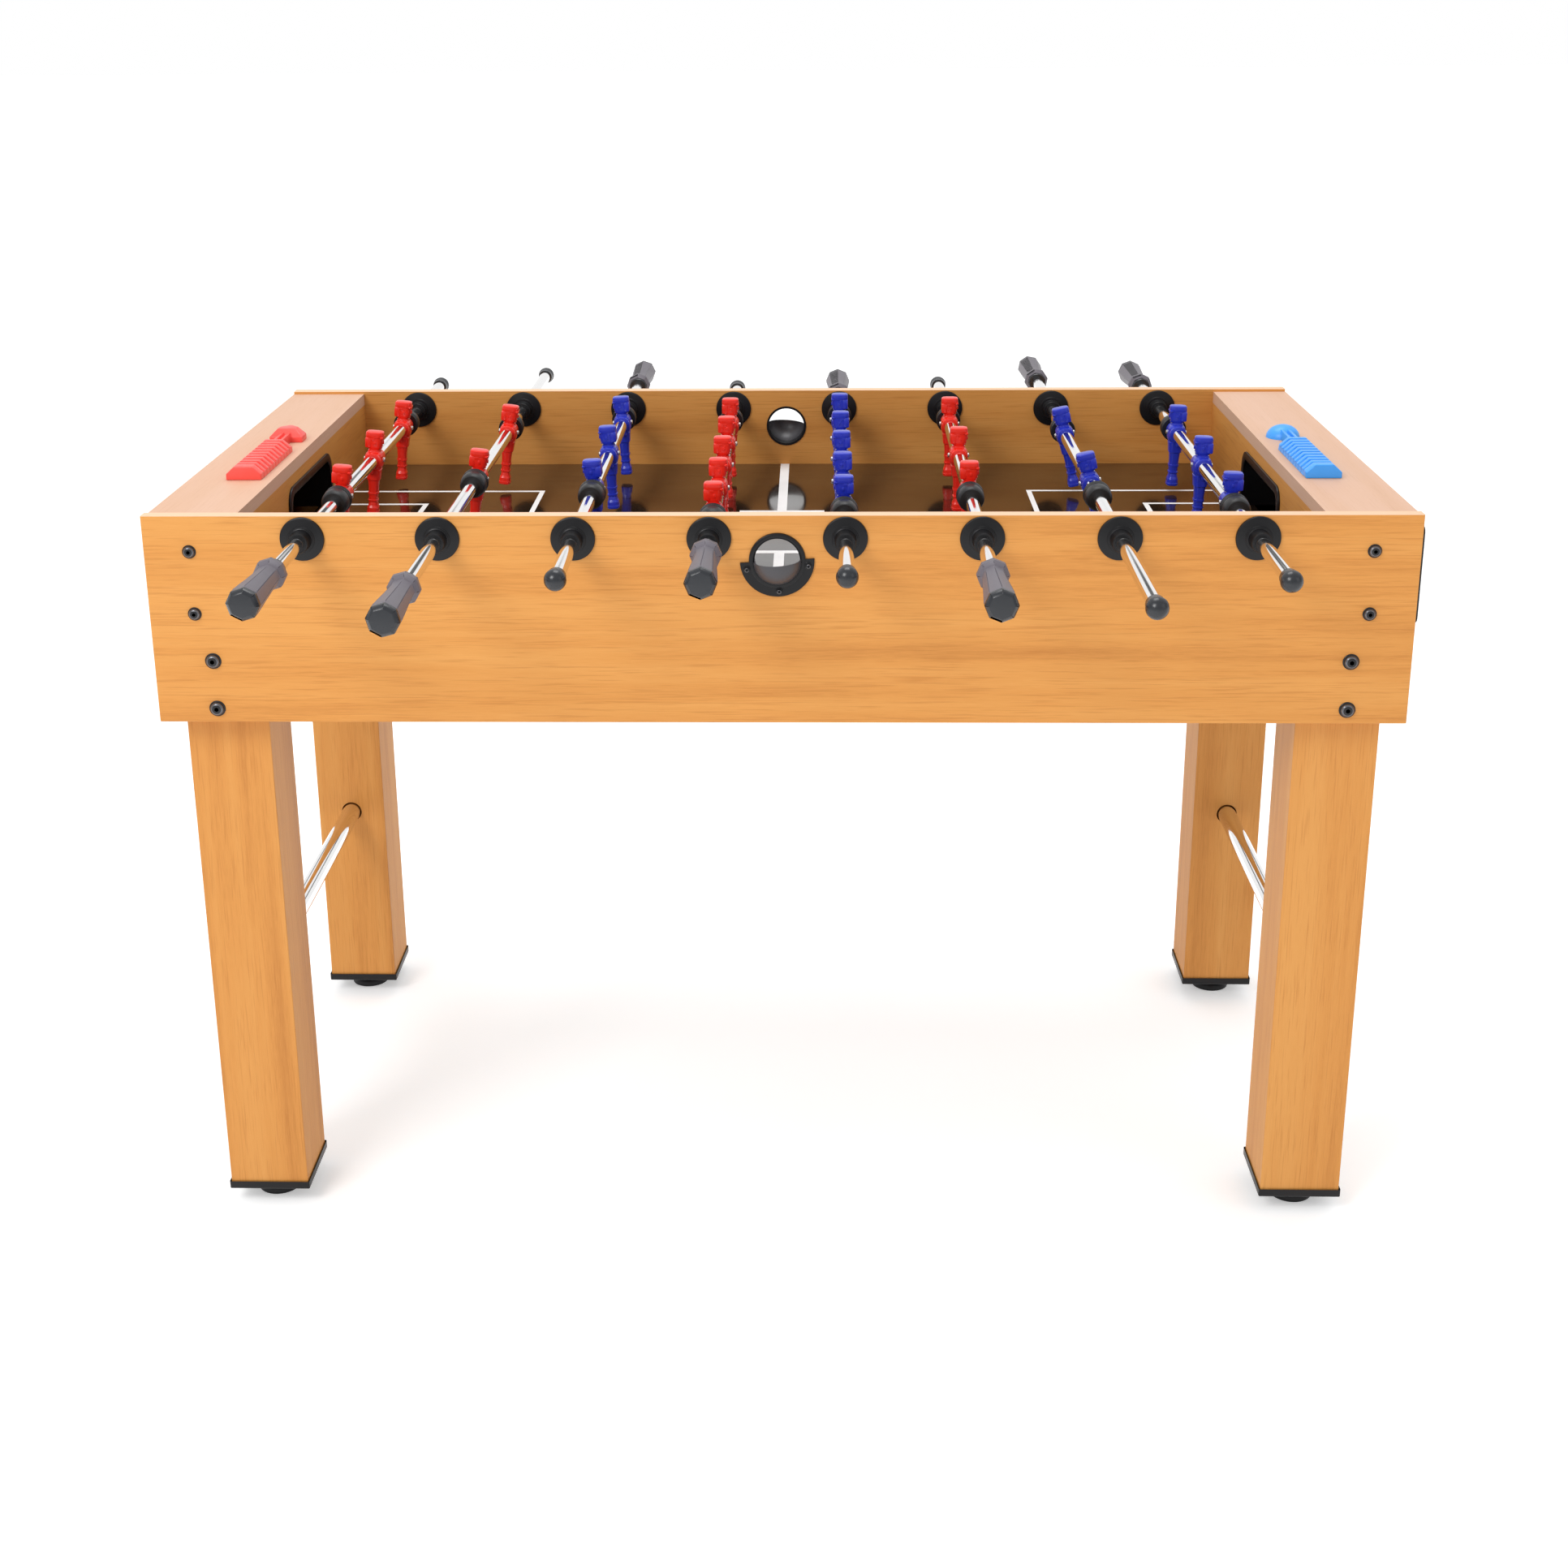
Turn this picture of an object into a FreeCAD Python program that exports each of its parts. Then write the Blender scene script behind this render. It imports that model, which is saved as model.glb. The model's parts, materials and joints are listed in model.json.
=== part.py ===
import FreeCAD
import Part
import math
import os
import Sketcher
from FreeCAD import Placement, Rotation, Vector

# Foosball table, in millimetres. The origin is on the floor under the middle of the table.
# +X runs along the table to the player's right, +Y to the back, +Z up.

doc = FreeCAD.newDocument("FoosballTable")
sheet = doc.addObject("Spreadsheet::Sheet", "dims")

drivingSizes = {
    # Cabinet
    "table_length": 1370, "table_width": 720, "table_top": 870,
    "panel_thick": 15, "panel_high": 235, "edge_round": 1.2,
    "goal_inner": 587, "end_outer": 681, "deck_outer": 685, "deck_drop": 4, "board_low": 740,
    "field_top": 766, "field_thick": 9,
    # Goals and ball trays
    "goal_half": 104, "goal_top": 830, "frame_band": 10, "frame_proud": 3,
    "liner": 2, "hood_reach": 58, "hood_low": 792, "tray_low": 742, "tray_rise": 13, "tray_thick": 4,
    # Ball entries
    "entry_high": 820, "entry_bore": 24.5, "entry_wall": 1.5, "entry_ring": 30.5, "entry_flange": 40,
    "entry_proud": 3, "cup_wall": 1.6, "entry_tilt": 3.5, "entry_screw_ring": 34,
    # Ball returns
    "return_near": 336, "return_far": 262, "return_proud": 13, "return_low": 741, "return_high": 850,
    "return_wall": 10.5, "return_lip": 775, "return_floor": 3, "return_roof": 842,
    # Legs and feet
    "leg_width": 93, "leg_inset_x": 19, "leg_inset_y": 35, "leg_top": 735, "leg_low": 24.5,
    "leg_cap_low": 22, "leg_cap_high": 32, "leg_cap_wall": 2,
    "foot_radius": 26, "foot_high": 12, "stem_radius": 5, "stem_top": 75, "running_fit": 0.05,
    "tube_radius": 12.5, "tube_high": 287, "tube_hole": 14, "tube_depth": 30,
    # Bolts and blocks
    "bolt_radius": 4, "small_head": 7.5, "large_head": 9, "upper_bolt_in": 50, "lower_bolt_in": 65.5,
    "bolt_drop_1": 40, "bolt_drop_2": 110, "bolt_drop_3": 164, "bolt_drop_4": 219, "leg_bolt_deep": 40,
    "block_thick": 20,
    # Rods
    "rod_pitch": 146, "rod_high": 844.3, "rod_radius": 7.95, "rod_wall": 1.5,
    "barrel_radius": 14, "flange_radius": 24, "flange_thick": 3, "sleeve_long": 20,
    "retainer_thick": 3.5, "nose_long": 14,
    "bumper_radius": 16, "bumper_long": 28, "gap": 0.4,
    "handle_long": 130, "handle_radius": 17, "handle_waist": 12.8, "handle_end_thick": 9, "core_long": 7,
    "knob_radius": 11.5, "knob_skirt": 14, "core_radius": 12, "collar_radius": 12.4,
    # Players
    "head_top": 35.5, "foot_drop": 70, "shoulder_half": 17, "pin_radius": 1.5, "pin_half": 11.2,
    "pin_head": 2.8, "pin_proud": 2.4,
    # Scorers
    "scorer_x": 620, "scorer_half": 20.5, "scorer_near": -177, "scorer_far": 68, "scorer_high": 16,
    "scorer_end": 14, "scorer_head": 40, "scorer_edge": 7, "scorer_ridge": 10.5,
    "rail_half": 6, "rail_high": 12, "rail_groove": 2.5,
    "bead_count": 10, "bead_pitch": 14, "bead_thick": 12.6,
}

# Each rod: players, spacing, middle of the players, handle end, knob tip, turn (degrees) and how far
# its front bumper has slipped from its player. A negative handle end puts the handle at the front.
rods = {
    1: (3, 192, 32, -613, 537, 5, 0),
    2: (2, 270, 60, -665, 614, 7, 0),
    3: (3, 192, 60, 635, -533, -3, 0),
    4: (5, 121, -5, -540, 508, 0, 0),
    5: (5, 121, 26, 560, -523, 0, 0),
    6: (3, 192, 47, -617, 532, 0, 0),
    7: (2, 270, 37, 665, -631, -12, 45),
    8: (3, 192, -11, 622, -539, 2, 0),
}
for rod, values in rods.items():
    names = ("players", "spacing", "middle", "handle_end", "knob_tip", "turn", "bumper_slip")
    for name, value in zip(names, values):
        drivingSizes[f"rod_{name}_of_{rod}"] = value

for row, (alias, value) in enumerate(drivingSizes.items(), start=1):
    sheet.set(f"A{row}", alias)
    sheet.set(f"B{row}", str(value))
    sheet.setAlias(f"B{row}", alias)
doc.recompute()


def size(expression):
    """The value of an expression over the sheet's aliases, such as 'table_top - deck_drop'."""
    return float(sheet.evalExpression(expression))


def linked(expression):
    """The same expression, written so that another object can be bound to it."""
    text = str(expression)
    for alias in sorted(drivingSizes, key=len, reverse=True):
        text = text.replace(alias, f"@{list(drivingSizes).index(alias)}@")
    for index, alias in enumerate(drivingSizes):
        text = text.replace(f"@{index}@", f"dims.{alias}")
    return text


def primitive(kind, label, at, turn=None, **sizes):
    """A Part primitive whose sizes and place are bound to the sheet."""
    piece = doc.addObject(f"Part::{kind}", label)
    if turn:
        piece.Placement = Placement(Vector(), turn)
    for name, expression in sizes.items():
        piece.setExpression(name, linked(expression))
    for axis, expression in zip("xyz", at):
        piece.setExpression(f"Placement.Base.{axis}", linked(expression))
    return piece


def box(label, low, high):
    """A box between two corners."""
    spans = [f"({top}) - ({bottom})" for bottom, top in zip(low, high)]
    return primitive("Box", label, low, Length=spans[0], Width=spans[1], Height=spans[2])


alongY = Rotation(Vector(1, 0, 0), -90)
alongX = Rotation(Vector(0, 1, 0), 90)


def rodAlong(label, turn, at, radius, length):
    """A cylinder from a point, along +Z or turned along +X or +Y."""
    return primitive("Cylinder", label, at, turn, Radius=radius, Height=length)


def fuse(label, pieces):
    joined = doc.addObject("Part::MultiFuse", label)
    joined.Shapes = pieces
    return joined


def cut(label, base, tools):
    result = doc.addObject("Part::Cut", label)
    result.Base = base
    result.Tool = tools[0] if len(tools) == 1 else fuse(f"{label}_tools", tools)
    return result


def newSketch(body, role, name, points):
    """A closed outline on one of the body's own planes, each corner bound to the sheet."""
    sketch = body.newObject("Sketcher::SketchObject", name)
    plane = next(item for item in body.Origin.OriginFeatures if item.Role == role)
    sketch.AttachmentSupport = (plane, [""])
    sketch.MapMode = "FlatFace"
    corners = [Vector(size(across), size(up), 0) for across, up in points]
    for index, corner in enumerate(corners):
        sketch.addGeometry(Part.LineSegment(corner, corners[(index + 1) % len(corners)]))
    for index in range(len(corners)):
        following = (index + 1) % len(corners)
        sketch.addConstraint(Sketcher.Constraint("Coincident", index, 2, following, 1))
    for index, (corner, point) in enumerate(zip(corners, points)):
        for kind, value, expression in zip(("DistanceX", "DistanceY"), corner, point):
            number = sketch.addConstraint(Sketcher.Constraint(kind, -1, 1, index, 1, value))
            sketch.setExpression(f"Constraints[{number}]", linked(expression))
    return sketch


def turned(label, points):
    """A body of revolution about Y; each point is (radius, place along Y)."""
    body = doc.addObject("PartDesign::Body", label)
    sketch = newSketch(body, "XY_Plane", f"{label}_outline", points)
    revolution = body.newObject("PartDesign::Revolution", f"{label}_turned")
    revolution.Profile = sketch
    revolution.ReferenceAxis = (sketch, ["V_Axis"])
    revolution.Angle = 360
    return body


def padded(label, role, points, length, both=False, rounding=None):
    """A body made by padding one outline, with every edge rounded if a radius is given."""
    body = doc.addObject("PartDesign::Body", label)
    sketch = newSketch(body, role, f"{label}_outline", points)
    pad = body.newObject("PartDesign::Pad", f"{label}_pad")
    pad.Profile = sketch
    pad.setExpression("Length", linked(length))
    pad.Midplane = both
    if rounding:
        doc.recompute()
        fillet = body.newObject("PartDesign::Fillet", f"{label}_rounding")
        fillet.Base = (pad, [f"Edge{index + 1}" for index in range(len(pad.Shape.Edges))])
        fillet.setExpression("Radius", linked(rounding))
        body.Tip = fillet
    return body


def moved(shape, placement):
    copy = shape.copy()
    copy.Placement = placement.multiply(copy.Placement)
    return copy


def group(label, shapes):
    """A sub-part made of one or more separate solids, already in their places."""
    feature = doc.addObject("Part::Feature", label)
    feature.Shape = Part.makeCompound([solid for shape in shapes for solid in shape.Solids])
    feature.Placement = Placement()
    return feature


def at(x, y, z, turn=None):
    return Placement(Vector(x, y, z), turn or Rotation())


halfTurn = Rotation(Vector(0, 0, 1), 180)
nodes = {}
sides = (("front", -1), ("back", 1))
ends = (("left", -1), ("right", 1))

# Side panels: eight bearing holes, one ball entry, four bolts at each end.


def rodX(number):
    return f"({number} - 4.5) * rod_pitch"


upperDrops = ("bolt_drop_1", "bolt_drop_2")
lowerDrops = ("bolt_drop_3", "bolt_drop_4")


def boltPlaces():
    """X and Z of the bolts in a side panel, with the head's size and the shaft's length."""
    for sign in (-1, 1):
        for drop in upperDrops:
            x = f"{sign} * (table_length / 2 - upper_bolt_in)"
            yield x, f"table_top - {drop}", "small_head", "panel_thick + block_thick - 2"
        for drop in lowerDrops:
            x = f"{sign} * (table_length / 2 - lower_bolt_in)"
            yield x, f"table_top - {drop}", "large_head", "panel_thick + block_thick + leg_bolt_deep"


screwTurns = (193, 270, 347)


def aroundEntry(turn):
    """X and Z of a flange screw at this angle, measured from the entry's middle."""
    angle = math.radians(turn)
    return f"{math.cos(angle):.4f} * entry_screw_ring", f"{math.sin(angle):.4f} * entry_screw_ring"


def screwPlaces(facing):
    """X and Z of an entry's three screws; facing is 1 at the front and -1 at the back."""
    for turn in screwTurns:
        across, up = aroundEntry(turn + size("entry_tilt"))
        yield f"{facing} * {across}", f"entry_high + {up}"


for name, sign in sides:
    outer = f"{sign} * table_width / 2"
    low = "-table_width / 2" if sign < 0 else "table_width / 2 - panel_thick"
    high = f"{low} + panel_thick"
    body = padded(f"{name}_panel_blank", "XZ_Plane", [
        ("-table_length / 2", "table_top - panel_high"), ("table_length / 2", "table_top - panel_high"),
        ("table_length / 2", "table_top"), ("-table_length / 2", "table_top")],
        "panel_thick", rounding="edge_round")
    body.setExpression("Placement.Base.y", linked(high))
    tools = [rodAlong(f"{name}_bearing_hole_{rod}", alongY, (rodX(rod), f"{low} - 1", "rod_high"),
                      "barrel_radius", "panel_thick + 2") for rod in rods]
    tools.append(rodAlong(f"{name}_entry_hole", alongY, ("0", f"{low} - 1", "entry_high"),
                          "entry_bore + entry_wall", "panel_thick + 2"))
    for index, (x, z, head, long) in enumerate(boltPlaces()):
        tools.append(rodAlong(f"{name}_bolt_hole_{index}", alongY, (x, f"{low} - 1", z),
                              "bolt_radius", "panel_thick + 2"))
    for index, (x, z) in enumerate(screwPlaces(-sign)):
        start = "-table_width / 2 - 1" if sign < 0 else "table_width / 2 - 9"
        tools.append(rodAlong(f"{name}_screw_hole_{index}", alongY, (x, start, z), "pin_radius", "10"))
    nodes[f"{name}_side_panel"] = cut(f"{name}_side_panel", body, tools)

# Playfield with a tongue through each goal mouth.
fieldLow = "field_top - field_thick"
inside = "table_width / 2 - panel_thick"
field = box("field_board", ("-goal_inner", f"-({inside})", fieldLow), ("goal_inner", inside, "field_top"))
tongue = box("field_tongues", ("-goal_inner - panel_thick", "-goal_half", fieldLow),
             ("goal_inner + panel_thick", "goal_half", "field_top"))
nodes["playfield"] = fuse("playfield", [field, tongue])


def mirroredX(label, source):
    mirror = doc.addObject("Part::Mirroring", label)
    mirror.Source = source
    mirror.Normal = Vector(1, 0, 0)
    return mirror


# Goal panels, made for the right end and mirrored for the left one.
deckLow = "table_top - deck_drop - panel_thick"
wall = box("goal_wall", ("goal_inner", f"-({inside})", "board_low"),
           ("goal_inner + panel_thick", inside, deckLow))
mouth = box("goal_mouth", ("goal_inner - 1", "-goal_half", fieldLow),
            ("goal_inner + panel_thick + 1", "goal_half", "goal_top"))
nodes["right_goal_panel"] = cut("right_goal_panel", wall, [mouth])
nodes["left_goal_panel"] = mirroredX("left_goal_panel", nodes["right_goal_panel"])

# End panels, each with a return opening, and the deck boards above them.
endInner = "end_outer - panel_thick"
returnNear = "-return_near + return_wall"
returnFar = "-return_far - return_wall"
endWall = box("end_wall", (endInner, f"-({inside})", "table_top - panel_high"),
              ("end_outer", inside, deckLow))
endHole = box("end_hole", (f"{endInner} - 1", returnNear, "return_low + return_floor"),
              ("end_outer + 1", returnFar, "return_roof"))
endPanel = cut("end_panel", endWall, [endHole])
deck = box("deck_board", ("goal_inner", f"-({inside})", deckLow),
           ("deck_outer", inside, "table_top - deck_drop"))

# Goal frames: a flat surround on the pitch side, a liner through the wall and a hood behind it.
frameTop = "goal_top + frame_band - liner"
surround = box("goal_surround", ("goal_inner - frame_proud", "-goal_half - frame_band + liner", "field_top"),
               ("goal_inner", "goal_half + frame_band - liner", frameTop))
sleeve = box("goal_sleeve", ("goal_inner - 1", "-goal_half", "field_top"),
             ("goal_inner + panel_thick + 1", "goal_half", "goal_top"))
hood = box("goal_hood", ("goal_inner + panel_thick", "-goal_half", "hood_low"),
           ("goal_inner + panel_thick + hood_reach", "goal_half", "goal_top"))
hollow = box("goal_hollow", ("goal_inner - frame_proud - 1", "-goal_half + liner", "field_top - 1"),
             ("goal_inner + panel_thick + hood_reach - liner", "goal_half - liner", "goal_top - liner"))
frameBlank = fuse("goal_frame_blank", [surround, sleeve, hood])
goalFrame = cut("goal_frame", frameBlank, [hollow])

# Ball trays: a board that slopes towards the return, in the space behind each goal panel.
trayEnd = f"{inside} - block_thick"
tray = padded("ball_tray", "YZ_Plane", [
    (f"-({trayEnd})", "tray_low - tray_thick"), (trayEnd, "tray_low + tray_rise - tray_thick"),
    (trayEnd, "tray_low + tray_rise"), (f"-({trayEnd})", "tray_low")],
    f"{endInner} - goal_inner - panel_thick")
tray.setExpression("Placement.Base.x", linked("goal_inner + panel_thick"))
returnBlank = box("return_blank", ("end_outer", "-return_near", "return_low"),
                  ("end_outer + return_proud", "-return_far", "return_high"))
returnMouth = box("return_mouth", ("end_outer - 1", returnNear, "return_lip"),
                  ("end_outer + return_proud + 1", returnFar, "return_roof"))
returnTrough = box("return_trough", ("end_outer - 1", returnNear, "return_low + return_floor"),
                   ("end_outer + return_proud - 4", returnFar, "return_lip + 1"))
ballReturn = cut("return_cup", returnBlank, [returnMouth, returnTrough])

# Legs, with a socket for the stretcher tube, a bore for the leveller and two bolt holes.
legOuter = "table_length / 2 - leg_inset_x"
legFront = "table_width / 2 - leg_inset_y"
legX = f"{legOuter} - leg_width / 2"
legY = f"{legFront} - leg_width / 2"
for endName, endSign in ends:
    for sideName, sideSign in sides:
        label = f"{sideName}_{endName}_leg"
        x, y = f"{endSign} * ({legX})", f"{sideSign} * ({legY})"
        post = box(f"{label}_post", (f"{x} - leg_width / 2", f"{y} - leg_width / 2", "leg_low"),
                   (f"{x} + leg_width / 2", f"{y} + leg_width / 2", "leg_top"))
        inner = f"{sideSign} * ({legFront} - leg_width)"
        socketLow = f"{inner} - 1" if sideSign > 0 else f"{inner} - tube_depth"
        boltLow = f"{legFront} - leg_bolt_deep" if sideSign > 0 else f"-({legFront})"
        doc.recompute()
        upright = [index + 1 for index, edge in enumerate(post.Shape.Edges)
                   if edge.BoundBox.ZLength > edge.BoundBox.XLength + edge.BoundBox.YLength]
        rounded = doc.addObject("Part::Fillet", f"{label}_rounded")
        rounded.Base = post
        rounded.Edges = [(index, size("edge_round"), size("edge_round")) for index in upright]
        tools = [rodAlong(f"{label}_socket", alongY, (x, socketLow, "tube_high"),
                          "tube_hole", "tube_depth + 1"),
                 rodAlong(f"{label}_bore", None, (x, y, "leg_low - 1"),
                          "stem_radius + running_fit", "stem_top")]
        for index, drop in enumerate(lowerDrops):
            tools.append(rodAlong(f"{label}_bolt_{index}", alongY, (x, boltLow, f"table_top - {drop}"),
                                  "bolt_radius", "leg_bolt_deep"))
        nodes[label] = cut(label, rounded, tools)

# Square end cap under each leg, around its foot.
capHalf = "leg_width / 2 + leg_cap_wall"
capBlank = box("leg_cap_blank", (f"-({capHalf})", f"-({capHalf})", "leg_cap_low"),
               (capHalf, capHalf, "leg_cap_high"))
capRoom = box("leg_cap_room", ("-leg_width / 2", "-leg_width / 2", "leg_low"),
              ("leg_width / 2", "leg_width / 2", "leg_cap_high + 1"))
capBore = rodAlong("leg_cap_bore", None, ("0", "0", "leg_cap_low - 1"), "stem_radius + running_fit", "10")
legCap = cut("leg_cap", capBlank, [capRoom, capBore])

# Leveller: a wide foot, a hexagon nut and a stem that runs in the leg.
footDisc = primitive("Cone", "foot_disc", ("0", "0", "0"), Radius1="foot_radius", Radius2="foot_radius - 3",
                     Height="foot_high")
footNut = primitive("Prism", "foot_nut", ("0", "0", "foot_high"), Polygon="6", Circumradius="11",
                    Height="leg_cap_low - gap - foot_high")
footStem = rodAlong("foot_stem", None, ("0", "0", "foot_high"), "stem_radius", "stem_top - foot_high")
leveller = fuse("foot", [footDisc, footNut, footStem])

# Upper and lower corner blocks.
upperBlock = box("upper_block", ("goal_inner + panel_thick", f"{trayEnd}", "tray_low + 3"),
                 (endInner, inside, deckLow))
lowerBlock = box("lower_block", (f"{legX} - leg_width / 2", legFront, "table_top - panel_high"),
                 (f"{legX} + leg_width / 2", inside, "leg_top"))
blockHoles = []
for index, drop in enumerate(upperDrops):
    blockHoles.append(rodAlong(f"upper_block_hole_{index}", alongY, (
        "table_length / 2 - upper_bolt_in", f"{inside} - block_thick + 2", f"table_top - {drop}"),
        "bolt_radius", "block_thick"))
for index, drop in enumerate(lowerDrops):
    blockHoles.append(rodAlong(f"lower_block_hole_{index}", alongY, (
        legX, f"{legFront} - 1", f"table_top - {drop}"), "bolt_radius", "block_thick + 2"))
upperDrilled = cut("upper_block_drilled", upperBlock, blockHoles[:2])
lowerDrilled = cut("lower_block_drilled", lowerBlock, blockHoles[2:])

# Ball entry: a ring and a half-moon flange on the panel, a short tube through it and a cup outside.
entryParts = [
    rodAlong("entry_ring_disc", alongY, ("0", "-entry_proud", "0"), "entry_ring", "entry_proud"),
    rodAlong("entry_tube", alongY, ("0", "-0.5", "0"), "entry_bore + entry_wall", "panel_thick + 1.5"),
    rodAlong("entry_lip", alongY, ("0", "panel_thick", "0"), "entry_bore + 3", "1.5"),
]
moon = rodAlong("entry_moon", alongY, ("0", "-entry_proud + 0.6", "0"), "entry_flange", "entry_proud - 0.6")
above = box("entry_above", ("-entry_flange - 1", "-entry_flange", "0"),
            ("entry_flange + 1", "1", "entry_flange + 1"))
holes = []
for index, turn in enumerate(screwTurns):
    across, up = aroundEntry(turn)
    holes.append(rodAlong(f"entry_screw_{index}", alongY, (across, "-entry_proud - 1", up),
                          "pin_radius", "entry_proud + 2"))
halfMoon = cut("entry_half_moon", moon, [above] + holes)
ball = primitive("Sphere", "entry_ball", ("0", "0", "0"), Radius="entry_bore + cup_wall")
cupAbove = box("entry_cup_above", ("-entry_flange", "-entry_flange", "0"),
               ("entry_flange", "entry_flange", "entry_flange"))
cupBehind = box("entry_cup_behind", ("-entry_flange", "-0.5", "-entry_flange"),
                ("entry_flange", "entry_flange", "1"))
cup = cut("entry_cup", ball, [cupAbove, cupBehind])
entrySolid = fuse("entry_solid", entryParts + [halfMoon, cup])
bore = rodAlong("entry_bore_tool", alongY, ("0", "-0.5", "0"), "entry_bore", "panel_thick + 4")
ringBore = rodAlong("entry_ring_bore", alongY, ("0", "-entry_proud - 1", "0"),
                    "entry_bore", "entry_proud + 2")
cupRoom = primitive("Sphere", "entry_cup_room", ("0", "0", "0"), Radius="entry_bore")
entry = cut("entry", entrySolid, [bore, ringBore, cupRoom])

# Rod bearing on the outside of a panel and its retainer on the inside; Y = 0 is the outer face.
bearing = turned("bearing", [
    ("rod_radius + running_fit", "panel_thick"), ("barrel_radius", "panel_thick"),
    ("barrel_radius", "0"), ("flange_radius", "0"),
    ("flange_radius", "-flange_thick + 0.8"), ("flange_radius - 0.8", "-flange_thick"),
    ("flange_radius - 4", "-flange_thick"), ("flange_radius - 4.4", "-flange_thick - 1"),
    ("flange_radius - 9", "-flange_thick - 1"), ("flange_radius - 9.5", "-flange_thick - 2.2"),
    ("collar_radius", "-flange_thick - 3"), ("collar_radius - 1.8", "-flange_thick - sleeve_long"),
    ("rod_radius + running_fit", "-flange_thick - sleeve_long")])
retainer = turned("retainer", [
    ("rod_radius + running_fit", "0"), ("flange_radius", "0"), ("flange_radius", "retainer_thick - 0.8"),
    ("flange_radius - 0.8", "retainer_thick"), ("flange_radius - 8", "retainer_thick"),
    ("flange_radius - 8.6", "retainer_thick + 1"), ("collar_radius", "retainer_thick + 2"),
    ("collar_radius - 1", "retainer_thick + nose_long"),
    ("rod_radius + running_fit", "retainer_thick + nose_long")])

# Bumper with three ridges beside the player and a tapered end; it starts at Y = 0.
ridgeLine = []
for ridge in range(3):
    start = 4 * ridge
    ridgeLine += [("bumper_radius", str(start)), ("bumper_radius", str(start + 2.4)),
                  ("bumper_radius - 1.2", str(start + 3)), ("bumper_radius - 1.2", str(start + 3.6))]
bumper = turned("bumper", [("rod_radius + running_fit", "0")] + ridgeLine + [
    ("bumper_radius - 0.4", "12.4"), ("bumper_radius - 0.8", "bumper_long - 7"),
    ("bumper_radius - 3.5", "bumper_long"), ("rod_radius + running_fit", "bumper_long")])

# Knob on the free end of a rod: its tip is at Y = 0 and the rod enters from +Y.
knobEnd = "knob_radius + knob_skirt"
knobDome = []
for angle in (0, 30, 60, 90):
    across, along = math.sin(math.radians(angle)), 1 - math.cos(math.radians(angle))
    knobDome.append((f"knob_radius * {across:.3f}", f"knob_radius * {along:.3f}"))
knob = turned("knob", knobDome + [("knob_radius", knobEnd), ("rod_radius", knobEnd),
                              ("rod_radius", "knob_radius + 2"), ("0", "knob_radius + 2")])

# Player, with the rod's axis through Y: a side outline and a front outline, in common.
sideHalf = [("9.5", "head_top"), ("11", "head_top - 2"), ("11", "head_top - 13"), ("8", "head_top - 23"),
            ("7", "11.5"), ("10", "8.5"), ("11.3", "5"), ("11.3", "-6"), ("9", "-13"), ("6.6", "-24"),
            ("5.6", "-43"), ("5.6", "-55"), ("7.5", "-60"), ("7.5", "-foot_drop")]
frontHalf = [("8", "head_top"), ("9", "head_top - 2"), ("9", "head_top - 13"), ("6.5", "head_top - 23"),
             ("shoulder_half - 4", "10.5"), ("shoulder_half", "6.5"), ("shoulder_half", "-7"), ("10", "-12"),
             ("8.5", "-30"), ("7.5", "-48"), ("7.5", "-55"), ("10", "-61"), ("10", "-foot_drop")]


def bothHalves(points):
    return [(f"-({across})", up) for across, up in points] + list(reversed(points))


sideCut = padded("player_side", "XZ_Plane", bothHalves(sideHalf), "2 * shoulder_half", both=True)
frontCut = padded("player_front", "YZ_Plane", bothHalves(frontHalf), "32", both=True)
figure = doc.addObject("Part::Common", "player_figure")
figure.Base = sideCut
figure.Tool = frontCut
playerBore = rodAlong("player_bore", alongY, ("0", "-shoulder_half - 1", "0"),
                      "rod_radius", "2 * shoulder_half + 2")
playerPinHole = rodAlong("player_pin_hole", alongX, ("-2 * pin_half", "0", "0"), "pin_radius", "4 * pin_half")
player = cut("player", figure, [playerBore, playerPinHole])
pinShaft = rodAlong("player_pin_shaft", alongX, ("-pin_half", "0", "0"), "pin_radius", "2 * pin_half")
pinHead = rodAlong("player_pin_head", alongX, ("pin_half", "0", "0"), "pin_head", "pin_proud")
pinNut = rodAlong("player_pin_nut", alongX, ("-pin_half - pin_proud", "0", "0"), "pin_head", "pin_proud")
pin = fuse("player_pin", [pinShaft, pinHead, pinNut])
doc.recompute()


def octagon(radius, y):
    points = []
    for step in range(9):
        angle = math.radians(22.5 + 45 * step)
        points.append(Vector(radius * math.cos(angle), y, radius * math.sin(angle)))
    return Part.makePolygon(points)


def handleShapes():
    """Grip, end cap and core of a handle; its outer end is at Y = 0 and the rod enters from +Y."""
    long, radius, waist = size("handle_long"), size("handle_radius"), size("handle_waist")
    capThick, core, coreRadius, tube = (size(name) for name in (
        "handle_end_thick", "core_long", "core_radius", "rod_radius"))
    stations = [(radius, capThick), (radius, capThick + 6), (waist + 1.6, capThick + 50), (waist, long - 34),
                (waist, long - 24), (radius, long - 14), (radius - 2.5, long - core)]
    grip = Part.makeLoft([octagon(*station) for station in stations], True, True)
    tubeRoom = Part.makeCylinder(tube, long, Vector(0, capThick, 0), Vector(0, 1, 0))
    cap = Part.makeLoft([octagon(radius * 0.45, 0), octagon(radius - 2.5, 2), octagon(radius, 4.5),
                         octagon(radius, capThick)], True, True)
    ring = Part.makeCylinder(coreRadius, core, Vector(0, long - core, 0), Vector(0, 1, 0))
    return [grip.cut(tubeRoom), cap, ring.cut(tubeRoom)]


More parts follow.
